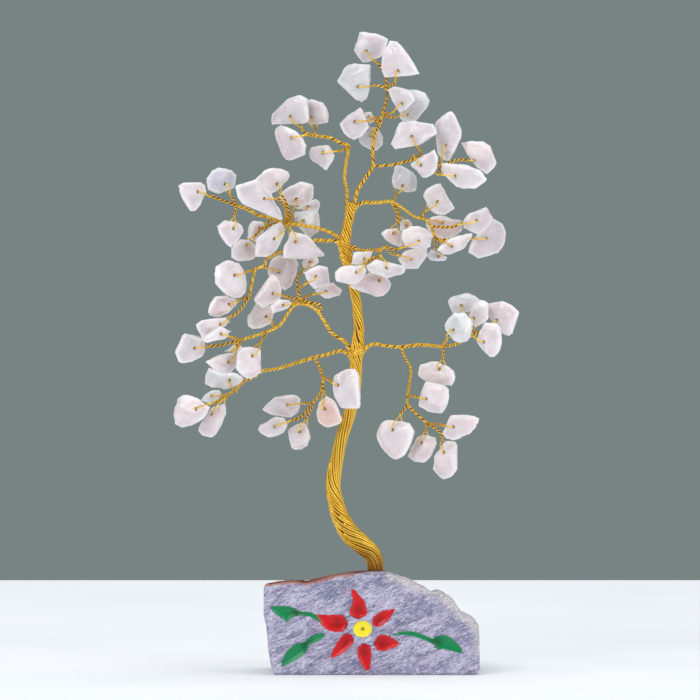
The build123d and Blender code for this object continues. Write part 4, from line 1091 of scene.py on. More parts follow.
def new_material(name):
    """A material with a plain Principled shader, its nodes and that shader."""
    material = bpy.data.materials.new(name)
    material.use_nodes = True
    nodes = Nodes(material.node_tree)
    return material, nodes, material.node_tree.nodes["Principled BSDF"]


def quartz(name, body, veil, blush, cloud, clear):
    """Tumbled quartz: light spreads inside it, and clear chips let the background through."""
    material, nodes, shader = new_material(name)
    colours = {"Body": srgb(*body), "Veil": srgb(*veil), "Blush": srgb(*blush), "Cloud": cloud}
    veils = nodes.add("ShaderNodeGroup", colours, node_tree=veils_group()).outputs
    nodes.fill(shader, {
        "Base Color": veils["Color"],
        "Roughness": veils["Roughness"],
        "Normal": nodes.bump(veils["Height"], 0.2, 0.05 * MM),
        "IOR": 1.544,
        "Subsurface Weight": 0.55,
        "Subsurface Radius": (1.0, 0.72, 0.7),
        "Subsurface Scale": 2.4 * MM,
        "Transmission Weight": clear,
    })
    return material


def enamel(name, coat, deep):
    """Glossy paint in a carved hollow."""
    material, nodes, shader = new_material(name)
    # Its second colour is the painted shade in the deepest part of the hollow
    coats = {"Coat": srgb(*coat), "Painted shade": srgb(*deep)}
    paint = nodes.add("ShaderNodeGroup", coats, node_tree=enamel_group()).outputs
    nodes.fill(shader, {
        "Base Color": paint["Color"],
        "Roughness": paint["Roughness"],
        "Normal": nodes.bump(paint["Height"], 0.4, 0.06 * MM),
        "Specular IOR Level": 0.25,
        "Coat Weight": 0.12,
        "Coat Roughness": 0.12,
    })
    return material


def gold():
    """Drawn brass wire, lacquered gold: painted highlights on crests, painted shade in grooves, browner at
    the trunk's foot.
    """
    material, nodes, shader = new_material("Gold wire")
    place = nodes.place()
    height = nodes.add("ShaderNodeSeparateXYZ", {0: place}).outputs["Z"]
    # Browner from 8 mm above the stone's top downwards
    browner_low = nodes.between(height, (STONE_HIGH.z + 8 * MM) / MM, STONE_HIGH.z / MM)
    patches = nodes.between(nodes.noise(nodes.place((1, 1, 0.3)), 0.5, 3.0), 0.45, 0.7)
    crest = nodes.attribute("crest")
    colour = nodes.coats(
        srgb(232, 172, 34),
        (nodes.attribute("tone"), 1, srgb(254, 214, 80)),
        (patches, 0.4, srgb(200, 128, 20)),
        # Painted shade on the strands' inner sides and the core, and a painted highlight on their outer
        # crests
        (nodes.between(crest, 0.72, 0.0), 1, srgb(146, 90, 14)),
        (nodes.between(crest, 0.86, 1.0, 0.0, 0.6), 1, srgb(255, 232, 120)),
        (browner_low, 0.85, srgb(122, 56, 8)))
    drawn = nodes.noise(nodes.place((6, 6, 0.8)), 1.0, 2.0)
    nodes.fill(shader, {"Base Color": colour, "Roughness": nodes.between(drawn, 0.3, 0.7, 0.24, 0.4),
                        "Normal": nodes.bump(drawn, 0.15, 0.02 * MM), "Metallic": 0.6})
    return material


def sawn_stone():
    """Lilac-grey schist: slanting streaks, pale chipped rims and a brick-red crust on top."""
    material, nodes, shader = new_material("Sawn stone")
    place = nodes.place()
    slant = (0, radians(24), 0)
    broad = nodes.noise(nodes.place((0.35, 1, 1.3), slant), 0.32, 4.0, 0.6, 0.8)
    streaks = nodes.noise(nodes.place((0.34, 0.8, 1.7), slant), 1.25, 5.0, 0.68, 0.5)
    dark = nodes.noise(nodes.place((0.42, 1, 1.5), (0, radians(29), 0)), 1.9, 4.0, 0.7, 0.3)
    flecks = nodes.noise(nodes.place((0.6, 1, 1.4), slant), 3.6, 3.0, 0.75)
    tint = nodes.noise(place, 0.28, 2.0, 0.5, 0.4)
    grit = nodes.noise(place, 2.2, 4.0, 0.7)
    cream = nodes.mix(nodes.between(flecks, 0.42, 0.58), srgb(176, 170, 174), srgb(226, 220, 212))
    rust = nodes.coats(
        srgb(84, 20, 22),
        (nodes.between(grit, 0.4, 0.6), 1, srgb(138, 52, 48)),
        (nodes.between(broad, 0.55, 0.68), 0.45, srgb(184, 112, 98)))
    colour = nodes.coats(
        srgb(114, 116, 148),
        (nodes.between(broad, 0.41, 0.6), 1, srgb(178, 178, 202)),
        (nodes.between(tint, 0.45, 0.7), 0.4, srgb(182, 154, 186)),
        (nodes.between(streaks, 0.5, 0.62), 0.8, srgb(212, 208, 222)),
        (nodes.between(dark, 0.51, 0.62), 0.85, srgb(80, 80, 112)),
        (nodes.between(flecks, 0.62, 0.7), 1, srgb(232, 228, 234)),
        (nodes.attribute("rim"), nodes.between(grit, 0.36, 0.56), cream),
        (nodes.attribute("crust"), 1, rust),
        (nodes.attribute("seam"), nodes.between(grit, 0.3, 0.5), srgb(206, 158, 146)),
        # Painted shade along the stone's foot
        (nodes.attribute("foot"), nodes.between(grit, 0.42, 0.58), srgb(84, 82, 100)))
    relief = nodes.sums("ADD", streaks, nodes.times(flecks, 0.5))
    nodes.fill(shader, {"Base Color": colour, "Roughness": nodes.between(flecks, 0.3, 0.7, 0.62, 0.88),
                        "Normal": nodes.bump(relief, 0.5, 0.12 * MM)})
    return material


def glue():
    """Clear epoxy round the trunk's foot, yellowed a little."""
    material, nodes, shader = new_material("Clear glue")
    clouds = nodes.noise(nodes.place(), 0.7, 3.0)
    colour = nodes.mix(nodes.between(clouds, 0.4, 0.65), srgb(196, 170, 120), srgb(226, 214, 186))
    nodes.fill(shader, {"Base Color": colour, "Roughness": nodes.between(clouds, 0.3, 0.7, 0.12, 0.3),
                        "Normal": nodes.bump(clouds, 0.4, 0.1 * MM), "Transmission Weight": 0.5})
    return material


def backdrop_light(tree, colour, lit):
    """Shows a flat colour to the camera, mirrors and glass, and another shader to the rest."""
    nodes = Nodes(tree)
    path = nodes.add("ShaderNodeLightPath").outputs
    seen = nodes.sums("MAXIMUM", path["Is Camera Ray"], path["Is Glossy Ray"])
    seen = nodes.sums("MAXIMUM", seen, path["Is Transmission Ray"])
    flat = nodes.add("ShaderNodeBackground", {"Color": colour, "Strength": 1.0})
    both = nodes.add("ShaderNodeMixShader", {0: seen, 1: lit, 2: flat.outputs[0]})
    return both.outputs[0]


def table_top():
    """A smooth pale table."""
    material, nodes, shader = new_material("Pale table")
    clouds = nodes.noise(nodes.place(), 0.01, 3.0)
    colour = nodes.mix(nodes.between(clouds, 0.35, 0.65), srgb(240, 245, 251), srgb(246, 250, 254))
    nodes.fill(shader, {"Base Color": colour, "Roughness": 0.8, "Specular IOR Level": 0.2})
    return material


def trunk_rows():
    """The trunk's centre line from its socket to its top: place, radius and slope of its strands."""
    foot = place(FOOT_X_PIXEL, FOOT_Y_PIXEL)
    rows = [(*(foot - (0, 0, SOCKET_DEPTH)), FOOT_RADIUS, radians(2)),
            (*(foot - (0, 0, SOCKET_DEPTH / 3)), FOOT_RADIUS, radians(6))]
    for x, y, share, slope in TRUNK_LOWER:
        rows.append((*place(x, y), share * TRUNK_BEND_RADIUS, radians(slope)))
    for x, y, share, slope in TRUNK_UPPER:
        rows.append((*place(x, y), share * TRUNK_RADIUS, radians(slope)))
    return rows


def trunk_at(y):
    """The trunk's centre and radius at a height given as a pixel row."""
    rows = np.array(trunk_rows())
    height = place(FOOT_X_PIXEL, y)[2]
    found = [np.interp(height, rows[:, 2], rows[:, column]) for column in (0, 1, 3)]
    return np.array([found[0], found[1], height]), found[2]


def eased(values, reach):
    """Values averaged over a few rows on each side."""
    width = 2 * reach + 1
    padded = np.concatenate([np.full(reach, values[0]), values, np.full(reach, values[-1])])
    return np.convolve(padded, np.ones(width) / width, "valid")


def lay_bundle(wires, path, radius, slope, wire, draw, most=99, skip=0.25):
    """Twists strands round a path, as many as fit. Where fewer fit, strands dive in and end."""
    frames = line_frames(path)
    along = frames[0]
    step = along[-1] / len(along)
    orbit = np.maximum(radius - wire, 0.9 * wire)
    fits = np.clip(2 * pi * orbit * np.cos(slope) / (STRAND_PITCH * wire), 2, most)
    count = np.maximum.accumulate(fits[::-1])[::-1]
    twist = -np.concatenate([[0], np.cumsum(np.diff(along) * np.tan(slope[1:]) / orbit[1:])])
    total = int(round(max(count)))
    order = list(range(total))
    draw.shuffle(order)
    alive = np.array([[number < rows - 0.3 for rows in count] for number in order])
    shared = np.maximum(alive.sum(0), 1)
    rank = np.cumsum(alive, 0) - alive
    reach = max(1, int(STRAND_SHIFT / step))
    for number in range(total):
        rows = np.nonzero(alive[number])[0]
        if len(rows) < 6:
            continue
        last = int(rows.max()) + 1
        phase = eased(2 * pi * rank[number] / shared, reach)[:last]
        wobble = draw.uniform(0, 2 * pi)
        wave = np.sin(along[:last] / (draw.uniform(*SIDE_SWAYS) * MM) + wobble)
        angle = phase + twist[:last] + wave * skip * pi / total
        rise = np.cos(along[:last] / (draw.uniform(*DEPTH_SWAYS) * MM) + wobble)
        depth = orbit[:last] + rise * 0.2 * wire
        if last < len(path):
            fade = np.clip((along[last - 1] - along[:last]) / STRAND_FADE, 0, 1)
            depth = depth * (0.3 + 0.7 * fade)
        piece = [part[:last] for part in frames]
        wires.add(path[:last], piece, depth, angle, wire, draw.random(), STRAND_SIDES)


def cross_trunk(wires, path, radius, y, rise, wire, draw):
    """A wire that comes out on the left of the trunk, crosses its front and goes in again."""
    share = np.linspace(-1, 1, CROSS_POINTS)
    heights = place(0, y)[2] + share * rise * TREE_SCALE / 2
    middles = np.stack([np.interp(heights, path[:, 2], path[:, column]) for column in (0, 1)], 1)
    orbit = np.interp(heights, path[:, 2], radius) + wire * (0.5 - 1.6 * share ** 6)
    angle = share * CROSS_TURN
    line = np.stack([middles[:, 0] + np.sin(angle) * orbit,
                     middles[:, 1] - np.cos(angle) * orbit, heights], 1)
    wires.add(line, line_frames(line), 0.0, 0.0, wire, draw.random(), STRAND_SIDES, crest=0.9)


def twist_trunk(settings):
    """All the wires of the tree in one bundle, thinning out as the branches leave it."""
    draw = random.Random(settings.seed)
    rows = spline(trunk_rows(), settings.step)
    path, radius, slope = rows[:, :3], rows[:, 3], rows[:, 4]
    wires = Wires()
    wire = settings.trunk_wire
    lay_bundle(wires, path, radius, slope, wire, draw)
    core = np.maximum(radius - 1.7 * wire, 0.6 * wire)
    # The core is painted in the grooves' shade colour, so gaps between strands show dark
    wires.add(path, line_frames(path), 0.0, 0.0, core, 0.0, sides=12, crest=0)
    for y, rise, strands in CROSSINGS:
        for number in range(strands):
            cross_trunk(wires, path, radius, y + 2.1 * number * wire / TREE_SCALE, rise, wire, draw)
    piece = wires.make("trunk_wires", gold_material())
    seat(piece, "gold_wire", "trunk_bundle")


def run_path(branch, run, first):
    """The points of a bundled run. The first run, which leaves the trunk, starts along its side."""
    points = [place(*point, branch) for point in run]
    if first:
        away = points[1] - points[0]
        away[2] = 0
        away = away / np.linalg.norm(away)
        starts = []
        for below, sink in zip(LEAVE_PIXELS, LEAVE_SINKS):
            middle, thick = trunk_at(min(run[0][1] + below, FOOT_Y_PIXEL))
            starts.append(middle + away * (thick - sink))
        points = starts + points[1:]
    return points


def chip_corners(branch, chip):
    """Corners of a chip's outline round its hole, across and up, in the branch's own plane."""
    hole = chip_hole(branch, chip)
    along, _ = branch_axes(branch)
    away = np.array([place(*corner, chip.depth, branch) - hole for corner in chip.outline])
    return np.stack([away @ along, away[:, 2]], 1)


def twig_stop(branch, chip):
    """Where the twig stops beside its chip, clear of the chip as it swings."""
    corners = chip_corners(branch, chip)
    hole = chip_hole(branch, chip)
    along, _ = branch_axes(branch)
    away = place(*chip.route[-1][:2], chip.depth, branch) - hole
    heading = unit(np.array([away @ along, away[2]]))
    reach = 0.0
    for angle in np.radians(np.linspace(-SWING_DEGREES, SWING_DEGREES, 5)):
        turned = heading[0] * cos(angle) - heading[1] * sin(angle)
        risen = heading[0] * sin(angle) + heading[1] * cos(angle)
        for (x0, z0), (x1, z1) in zip(corners, np.roll(corners, -1, 0)):
            ground = turned * (z1 - z0) - risen * (x1 - x0)
            if ground:
                distance = (x0 * (z1 - z0) - z0 * (x1 - x0)) / ground
                share = (x0 * risen - z0 * turned) / ground
                if distance > 0 and 0 <= share <= 1:
                    reach = max(reach, distance)
    reach += TWIG_GAP + TWIG_END_RADIUS
    return hole + along * heading[0] * reach + np.array([0, 0, heading[1] * reach])


def twig_points(branch, chip):
    """The twig's line from its bundle to its chip. Depths not given are spread evenly."""
    stop = twig_stop(branch, chip)
    known = {index: point[2] for index, point in enumerate(chip.route) if len(point) == 3}
    known[len(chip.route)] = chip.depth
    flat = np.array([place(*point[:2], 0, branch)[[0, 2]] for point in chip.route] + [stop[[0, 2]]])
    lengths = lengths_along(flat)
    indices = sorted(known)
    depths = np.interp(lengths, lengths[indices], [known[index] for index in indices])
    return [place(*point[:2], depth, branch) for point, depth in zip(chip.route, depths)] + [stop]


def add_twig(wires, path, settings, draw):
    """Two wires twisted together."""
    line = spline(path, settings.step) if len(path) > 2 else straight(path, settings.step)
    frames = line_frames(line)
    turn = -2 * pi * frames[0] / (settings.twig_pitch * draw.uniform(0.85, 1.15))
    start = draw.uniform(0, pi)
    for side in (0, pi):
        orbit = settings.twig_wire * (1.0 + 0.12 * np.sin(turn * 0.37 + start))
        wires.add(line, frames, orbit, turn + start + side, settings.twig_wire, draw.random(), STRAND_SIDES)


def straight(path, step):
    """Evenly spaced points from a path's start to its end."""
    low, high = path[0], path[-1]
    count = max(3, int(np.linalg.norm(high - low) / step))
    share = np.linspace(0, 1, count)[:, None]
    return low + (high - low) * share


def add_loop(wires, branch, chip, settings, draw):
    """The wire from the twig's end across the chip's face, through its hole and back."""
    _, back = branch_axes(branch)
    hole = chip_hole(branch, chip)
    stop = twig_points(branch, chip)[-1]
    knee = hole + (stop - hole) * KNEE_SHARE
    inward = (hole - stop) / np.linalg.norm(hole - stop)
    tail = stop - inward * LOOP_TAIL
    lift = back * LOOP_LIFT
    corners = [tail, stop - lift * 0.1, knee - lift, hole - lift,
               hole + lift, knee + lift, stop + lift * 0.1, tail]
    line = rounded(corners, LOOP_BEND)
    frames = line_frames(line)
    wires.add(line, frames, 0.0, 0.0, settings.wire_radius, draw.random(), STRAND_SIDES, crest=0.9)


def twist_branch(branch, number, settings):
    """A branch: its runs as ropes, and a twig and a loop of wire for every chip."""
    draw = random.Random(settings.seed * 100 + number)
    wires = Wires()
    wire = settings.branch_wire
    for index, run in enumerate(branch.runs):
        line = spline(run_path(branch, run, index == 0), settings.step)
        share = np.linspace(0, 1, len(line))
        thick = (BUNDLE_RADIUS if index == 0 else FORK_RADIUS) * settings.slimness
        radius = thick + (TWIG_RADIUS - thick) * share
        sway = np.sin(np.arange(len(line)) * settings.step / ROPE_SWAY + draw.random() * 6)
        slope = settings.lay * (1 + 0.3 * sway)
        lay_bundle(wires, line, radius, slope, wire, draw, 4, 0.5)
        core = np.maximum(radius - 1.8 * wire, 0.4 * wire)
        # The core is painted in the grooves' shade colour, so gaps between strands show dark
        wires.add(line, line_frames(line), 0.0, 0.0, core, 0.1, crest=0)
    for chip in branch.chips:
        add_twig(wires, twig_points(branch, chip), settings, draw)
        add_loop(wires, branch, chip, settings, draw)
    piece = wires.make(branch.name + "_wires", gold_material())
    seat(piece, "gold_wire", branch.name)


def gold_material():
    """The gold wire's material, which is made once."""
    return bpy.data.materials.get("Gold wire") or gold()


def chip_shape(branch, chip, settings, draw):
    """A tumbled chip in its own frame: x along the branch's width, y along its hole, z up."""
    corners = chip_corners(branch, chip)
    middle = corners.mean(0)
    size = corners.max(0) - corners.min(0)
    half = min(settings.thickness / 2, THICKEST_SHARE * min(size))
    points = []
    for corner in corners:
        edge = draw.uniform(-0.2, 0.2) * half
        blunt = draw.uniform(0.2, 0.34) * half
        points.append((corner[0], edge - blunt, corner[1]))
        points.append((corner[0], edge + blunt, corner[1]))
        for side in (-1, 1):
            flat = middle + (corner - middle) * draw.uniform(0.55, 0.8)
            points.append((flat[0], side * half * draw.uniform(0.8, 1.0), flat[1]))
    shape, faces = hull(points)
    for _ in range(settings.facets):
        lean = draw.uniform(0, 2 * pi)
        tilt = draw.uniform(0.2, 0.8)
        facing = unit(np.array([cos(lean) * tilt, draw.choice((-1, 1)), sin(lean) * tilt]))
        cut = (shape @ facing).max() - draw.uniform(0.2, 0.5) * half
        shape, faces = sliced(shape, faces, facing, cut)
    shape, faces = remeshed(shape, faces, settings.grain)
    links = neighbours(faces, len(shape))
    shape = smoothed(shape, links, 1)
    normal = outward(shape, faces)
    seed = draw.uniform(0, 50)
    sink = 0.5 * (1 - waves(shape, BROAD_WAVE, seed, 1)) * settings.wave
    sink += np.abs(waves(shape, FINE_WAVE, seed + 9, 2)) * settings.wave * 0.3
    hollow = np.zeros(len(shape))
    away = np.linalg.norm((shape[:, [0, 2]] - middle) / size, axis=1)
    rim = np.nonzero(away > 0.8 * away.max())[0]
    for number in range(settings.dents):
        centre = shape[rim[draw.randrange(len(rim))] if number % 2 else draw.randrange(len(shape))]
        reach = draw.uniform(*DENT_REACHES)
        near = np.clip(1 - np.linalg.norm(shape - centre, axis=1) / reach, 0, 1)
        hollow = np.maximum(hollow, settings.dent * np.minimum(near * 2.2, 1) ** 2 * (0.6 + 0.4 * near))
    shape = shape - normal * np.minimum(sink + hollow, settings.deepest)[:, None]
    shape = smoothed(shape, links, 1, 0.6)
    flat = shape[:, [0, 2]]
    low, high = flat.min(0), flat.max(0)
    shape[:, [0, 2]] = corners.min(0) + (flat - low) * size / (high - low)
    return shape, faces


def drilled(shape, faces, settings):
    """A chip with the hole that its wire runs through."""
    drill = round_cutter(settings.hole_radius / MM, 4 * settings.thickness / MM, HOLE_SIDES, lean=pi / 2)
    points, sides = remeshed(shape, faces, 0, drill)
    discard(drill)
    if np.ptp(points[:, 1]) > np.ptp(shape[:, 1]) + settings.grain:
        raise RuntimeError("The drill was left inside a chip")
    return points, sides


def string_chips(settings):
    """Every chip at its place on its loop as its own piece, on its own body or else on the tree's."""
    materials = {tone: quartz(f"{tone.capitalize()} quartz", *values) for tone, values in TONES.items()}
    made = {}
    bodies = set(frame["bodies"])
    draw = random.Random(settings.seed)
    for branch in BRANCHES:
        right, back = branch_axes(branch)
        for chip in branch.chips:
            shape, faces = drilled(*chip_shape(branch, chip, settings, draw), settings)
            rim = chip_corners(branch, chip)
            edge = outline_distance(shape[:, [0, 2]], np.vstack([rim, rim[:1]]))
            hole = chip_hole(branch, chip)
            world = hole + shape[:, :1] * right + shape[:, 1:2] * back + shape[:, 2:] * (0, 0, 1)
            count = made.get(chip.node, 0) + 1
            made[chip.node] = count
            loose = chip.node in bodies
            name = chip.node.replace("chip", "quartz") if loose else f"{chip.node}_{count}"
            piece = new_object(name, world, faces, materials[chip.tone])
            piece.data.set_sharp_from_angle(angle=CHIP_SHARP)
            blush = draw.uniform(0.0, 0.55) + 0.25 * waves(world, BLUSH_WAVE, draw.uniform(0, 9), 1)
            give(piece, "blush", np.clip(blush, 0, 1))
            # Painted shade: chips higher up are painted greyer, as the light falls, plus a random tone
            shade = settings.shade * (hole[2] - SHADE_START_HEIGHT) / TREE_RISE + draw.uniform(-0.2, 0.2)
            shade = shade + 0.55 * waves(world, SHADE_WAVE, draw.uniform(0, 9), 1)
            give(piece, "shade", np.clip(shade, 0, 1))
            # Painted light: the chip's colour turns paler towards its outline
            give(piece, "thin", np.clip(1 - edge / settings.lit_rim_width, 0, 1) ** 1.5)
            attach(piece, chip.node if loose else "tree")
            if count == 1:
                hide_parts(chip.node)


def motif_line(rows):
    """A carved motif's middle line and half widths on the stone's face, closely spaced."""
    points = [(stone_place(x, y)[0], 0.0, stone_place(x, y)[1], left * STONE_X_SCALE, right * STONE_X_SCALE)
              for x, y, left, right in rows]
    line = spline(points, MOTIF_STEP)
    line[:, 3:] = np.maximum(line[:, 3:], MOTIF_LEAST)
    heading = unit(np.gradient(line[:, [0, 2]], axis=0))
    return line, np.stack([-heading[:, 1], heading[:, 0]], 1)


def dish_depth(width, settings):
    """How deep the paint's surface lies under the stone's face, from the motif's half width."""
    return np.minimum(settings.dish, DISH_SHARE * width)


def carving(points, settings):
    """How deep the stone is gouged at points of its front face. The paint laps over the edges."""
    depth = np.zeros(len(points))
    for rows in PETALS + LEAVES:
        line, side = motif_line(rows)
        away = points[:, None, :] - line[None][:, :, [0, 2]]
        near = np.argmin((away ** 2).sum(2), axis=1)
        offset = away[np.arange(len(points)), near]
        lateral = (offset * side[near]).sum(1)
        width = np.where(lateral > 0, line[near, 3], line[near, 4])
        ratio = np.linalg.norm(offset, axis=1) / width
        flat = dish_depth((line[near, 3] + line[near, 4]) / 2, settings) + settings.undercut
        depth = np.maximum(depth, np.where(ratio * width < width - PAINT_BRIM, flat, 0))
    x, y, wide, tall = EYE
    offset = (points - stone_place(x, y)) / (wide * STONE_X_SCALE, tall * STONE_Z_SCALE)
    inside = np.linalg.norm(offset, axis=1) < 1 - PAINT_BRIM / (tall * STONE_Z_SCALE)
    return np.maximum(depth, np.where(inside, settings.dish + settings.undercut, 0))


def outline_distance(points, line):
    """The distance from points of the front face to a line of corners."""
    best = np.full(len(points), 1.0)
    for low, high in zip(line, line[1:]):
        along = high - low
        share = np.clip(((points - low) @ along) / (along @ along), 0, 1)[:, None]
        best = np.minimum(best, np.linalg.norm(points - low - share * along, axis=1))
    return best


def front_outline():
    """The stone's front outline and the edge of its flat face, which stays off the chipped rim."""
    outline = np.array([stone_place(x, y) for x, y in STONE_OUTLINE])
    outline = np.clip(outline, (STONE_LOW.x, 0), (STONE_HIGH.x, STONE_HIGH.z))
    flat = outline.copy()
    for index, (x, y) in enumerate(STONE_OUTLINE):
        if x >= RIM_FROM_PIXEL and y <= RIM_TO_PIXEL:
            flat[index, 1] -= STONE_RIM_WIDTH
            if x > RIM_FROM_PIXEL:
                flat[index, 0] -= STONE_RIM_WIDTH
    return outline, flat


def add_prism(points, faces, near, far):
    """Adds a closed prism between two loops that have the same number of corners."""
    start = len(points)
    count = len(near)
    points += [*near, *far]
    faces.append(tuple(start + i for i in range(count)))
    faces.append(tuple(start + 2 * count - 1 - i for i in range(count)))
    for i in range(count):
        after = (i + 1) % count
        faces.append((start + i, start + i + count, start + after + count, start + after))


def block_surface(flat):
    """The CAD stone's surface with its gouges and its socket filled up again."""
    node = frame["nodes"]["stone_base"].data
    points = [tuple(vertex.co) for vertex in node.vertices]
    faces = [tuple(polygon.vertices) for polygon in node.polygons]
    front, behind = [[(x, FRONT + depth, z) for x, z in flat] for depth in (0, FACE_FILL)]
    add_prism(points, faces, front, behind)
    reach = GLUE_HIGH.x - FOOT_X + PLUG_PLAY
    turns = [2 * pi * i / PLUG_SIDES for i in range(PLUG_SIDES)]
    ring = [(FOOT_X + reach * cos(turn), reach * sin(turn)) for turn in turns]
    heights = (STONE_HIGH.z - PLUG_PLAY, GLUE_LOW.z - PLUG_DEEPER)
    top, bottom = [[(x, y, z) for x, y in ring] for z in heights]
    add_prism(points, faces, top, bottom)
    return points, faces


def carve_stone(settings):
    """The stone: sawn front and foot, broken top and sides, and gouges for the paint."""
    outline, flat = front_outline()
    shape, faces = remeshed(*block_surface(flat), settings.grain)
    links = neighbours(faces, len(shape))
    normal = outward(shape, faces)
    front = (normal[:, 1] < -0.9) & (shape[:, 1] < FRONT + SAWN_REACH)
    foot = shape[:, 2] < SAWN_REACH
    smooth = smoothed(shape, links, 2)
    shape = np.where((front | foot)[:, None], shape, smooth)
    shape[front, 1] = FRONT
    back = (shape[:, 1] - STONE_LOW.y) / (STONE_HIGH.y - STONE_LOW.y)
    top = outline_distance(shape[:, [0, 2]], outline[:TOP_CORNERS])
    broken = outline_distance(shape[:, [0, 2]], np.array([stone_place(x, y) for x, y in STONE_RIM]))
    sink = 0.5 * waves(shape, *BROKEN_WAVE) * settings.roughness
    sink += np.abs(waves(shape, *SPLIT_WAVE)) * settings.roughness - settings.regain
    shape = shape - normal * np.where(front | foot, 0, sink)[:, None]
    crumble = np.clip(1 - broken / settings.rim_width, 0, 1) * np.clip(1 - back * 9, 0, 1)
    chips = np.clip(waves(shape, *CRUMBLE_WAVE), 0, 1)
    shape = shape - normal * (crumble * chips * settings.rim_loss)[:, None]
    sawn = settings.lip + (1 + waves(shape, *SAW_WAVE)) * settings.saw_marks
    shape[:, 1] += np.where(front, sawn, 0)
    shape[:, 1] += np.where(front, carving(shape[:, [0, 2]], settings), 0)
    shape = np.clip(shape, np.array(STONE_LOW), np.array(STONE_HIGH))
    pale = np.clip(1.25 - broken / settings.rim_width + 0.3 * waves(shape, *RIM_WAVE), 0, 1)
    under_crust = np.clip((crust_end() - shape[:, 0]) / SEAM_FADE, 0, 1)
    marks = {
        "rim": pale * np.clip(1.4 - back * 1.2, 0, 1),
        "crust": crust_mask(shape, normal, back),
        "seam": 0.6 * np.clip(1 - top / SEAM_WIDTH, 0, 1) * under_crust,
        # Painted shade: darker within the lowest millimetre of the stone
        "foot": np.clip(1 - shape[:, 2] / FOOT_SHADE, 0, 1),
    }
    piece = new_object("carved_stone_block", shape, faces, sawn_stone())
    for name, values in marks.items():
        give(piece, name, values)
    socket = (GLUE_HIGH.x - GLUE_LOW.x) / 2
    cut_hole(piece, round_cutter(socket, 1.3 * SOCKET_DEPTH, SOCKET_SIDES, (FOOT_X, 0, STONE_HIGH.z)))
    seat(piece, "carved_stone", "stone_base")


def crust_end():
    """Where the red crust ends on the stone's top, from left to right."""
    return stone_place(CRUST_END_PIXEL, 0)[0]


def crust_mask(shape, normal, back):
    """Where the brick-red crust covers the top, to the left of its end."""
    reach = crust_end() + CRUST_SWAY * waves(shape, *CRUST_WAVE) + CRUST_SLANT * back
    left = np.clip((reach - shape[:, 0]) / CRUST_FADE, 0, 1)
    up = np.clip((normal[:, 2] - 0.25) / 0.3, 0, 1)
    return left * up


def cut_hole(piece, cutter):
    """Cuts a hole in a piece and keeps the values stored at its points."""
    cut = piece.modifiers.new("hole", "BOOLEAN")
    cut.operation = "DIFFERENCE"
    cut.solver = "EXACT"
    cut.object = cutter
    evaluated = piece.evaluated_get(bpy.context.evaluated_depsgraph_get())
    mesh = bpy.data.meshes.new_from_object(evaluated)
    piece.modifiers.clear()
    piece.data = mesh
    mesh.shade_smooth()
    mesh.set_sharp_from_angle(angle=STONE_SHARP)
    discard(cutter)


def paint_motif(rows, dark, settings, draw):
    """A closed skin of paint in one gouge, with each point's painted shade and how near its edge it is."""
    line, side = motif_line(rows)
    count = MOTIF_COLUMNS
    across = np.linspace(-1, 1, count)
    along = np.linspace(0, 1, len(line))
    ragged = [1 + 0.07 * noise.noise(Vector((share * 9, draw.random() * 0.2, 5.0))) for share in along]
    points, deep, edge = [], [], []
    dish = dish_depth((line[:, 3] + line[:, 4]) / 2, settings)
    reach = lengths_along(line[:, [0, 2]])
    for layer in (0, 1):
        for index, row in enumerate(line):
            for u in across:
                width = (row[3] if u > 0 else row[4]) * ragged[index]
                flat = row[[0, 2]] + side[index] * u * width
                inner = max(0.35, 1 - 0.5 * PAINT_BRIM / width)
                bowl = (1 - min(1, abs(u) / inner) ** 2) * dish[index]
                behind = layer * (settings.lip + settings.skin * (1 - abs(u) ** 8))
                points.append((flat[0], FRONT + bowl + behind, flat[1]))
                far = (reach[index] - dark * reach[-1]) / settings.shade
                # Painted shade, darkest at the motif's shade share and in the middle across it
                deep.append(np.exp(-far ** 2) * (1 - abs(u) ** 1.6))
                edge.append(abs(u) ** 5)
    size = len(line) * count
    faces = []
    for index in range(len(line) - 1):
        for step in range(count - 1):
            a = index * count + step
            faces.append((a, a + count, a + count + 1, a + 1))
            faces.append((a + size + 1, a + size + count + 1, a + size + count, a + size))
        row, after = index * count, (index + 1) * count
        for a, b in ((row, after), (after + count - 1, after - 1)):
            faces.append((a, a + size, b + size, b))
    for start, turn in ((0, 1), ((len(line) - 1) * count, -1)):
        for step in range(count - 1):
            a = start + step
            faces.append((a, a + 1, a + 1 + size, a + size)[::turn])
    return np.array(points), faces, deep, edge


def paint_centre(settings):
    """The round centre: a shallow bowl of paint with painted shade in its dimple."""
    x, y, wide, tall = EYE
    middle = stone_place(x, y)
    half = np.array([wide * STONE_X_SCALE, tall * STONE_Z_SCALE])
    rings, sides = EYE_RINGS, EYE_SIDES
    points, deep, edge, faces = [], [], [], []
    for layer in (0, 1):
        for ring in range(1, rings + 1):
            share = ring / rings
            for step in range(sides):
                angle = 2 * pi * step / sides
                flat = middle + np.array([cos(angle), sin(angle)]) * half * share
                bowl = (1 - share ** 3) * settings.dish * 0.8 + (EYE_DIMPLE if ring == 1 else 0)
                behind = layer * (settings.lip + settings.skin * (1 - share ** 8))
                points.append((flat[0], FRONT + bowl + behind, flat[1]))
                # Painted shade in the dimple and the ring round it
                deep.append(1.0 if ring == 1 else 0.35 if ring == 2 else 0.0)
                edge.append(share ** 6)
    size = rings * sides
    for layer in (0, 1):
        turn = 1 if layer else -1
        faces.append(tuple(layer * size + step for step in range(sides))[::-turn])
        for ring in range(rings - 1):
            for step in range(sides):
                a = layer * size + ring * sides + step
                b = layer * size + ring * sides + (step + 1) % sides
                faces.append((a, b, b + sides, a + sides)[::-turn])
    for step in range(sides):
        a = (rings - 1) * sides + step
        b = (rings - 1) * sides + (step + 1) % sides
        faces.append((a, b, b + size, a + size))
    return np.array(points), faces, deep, edge


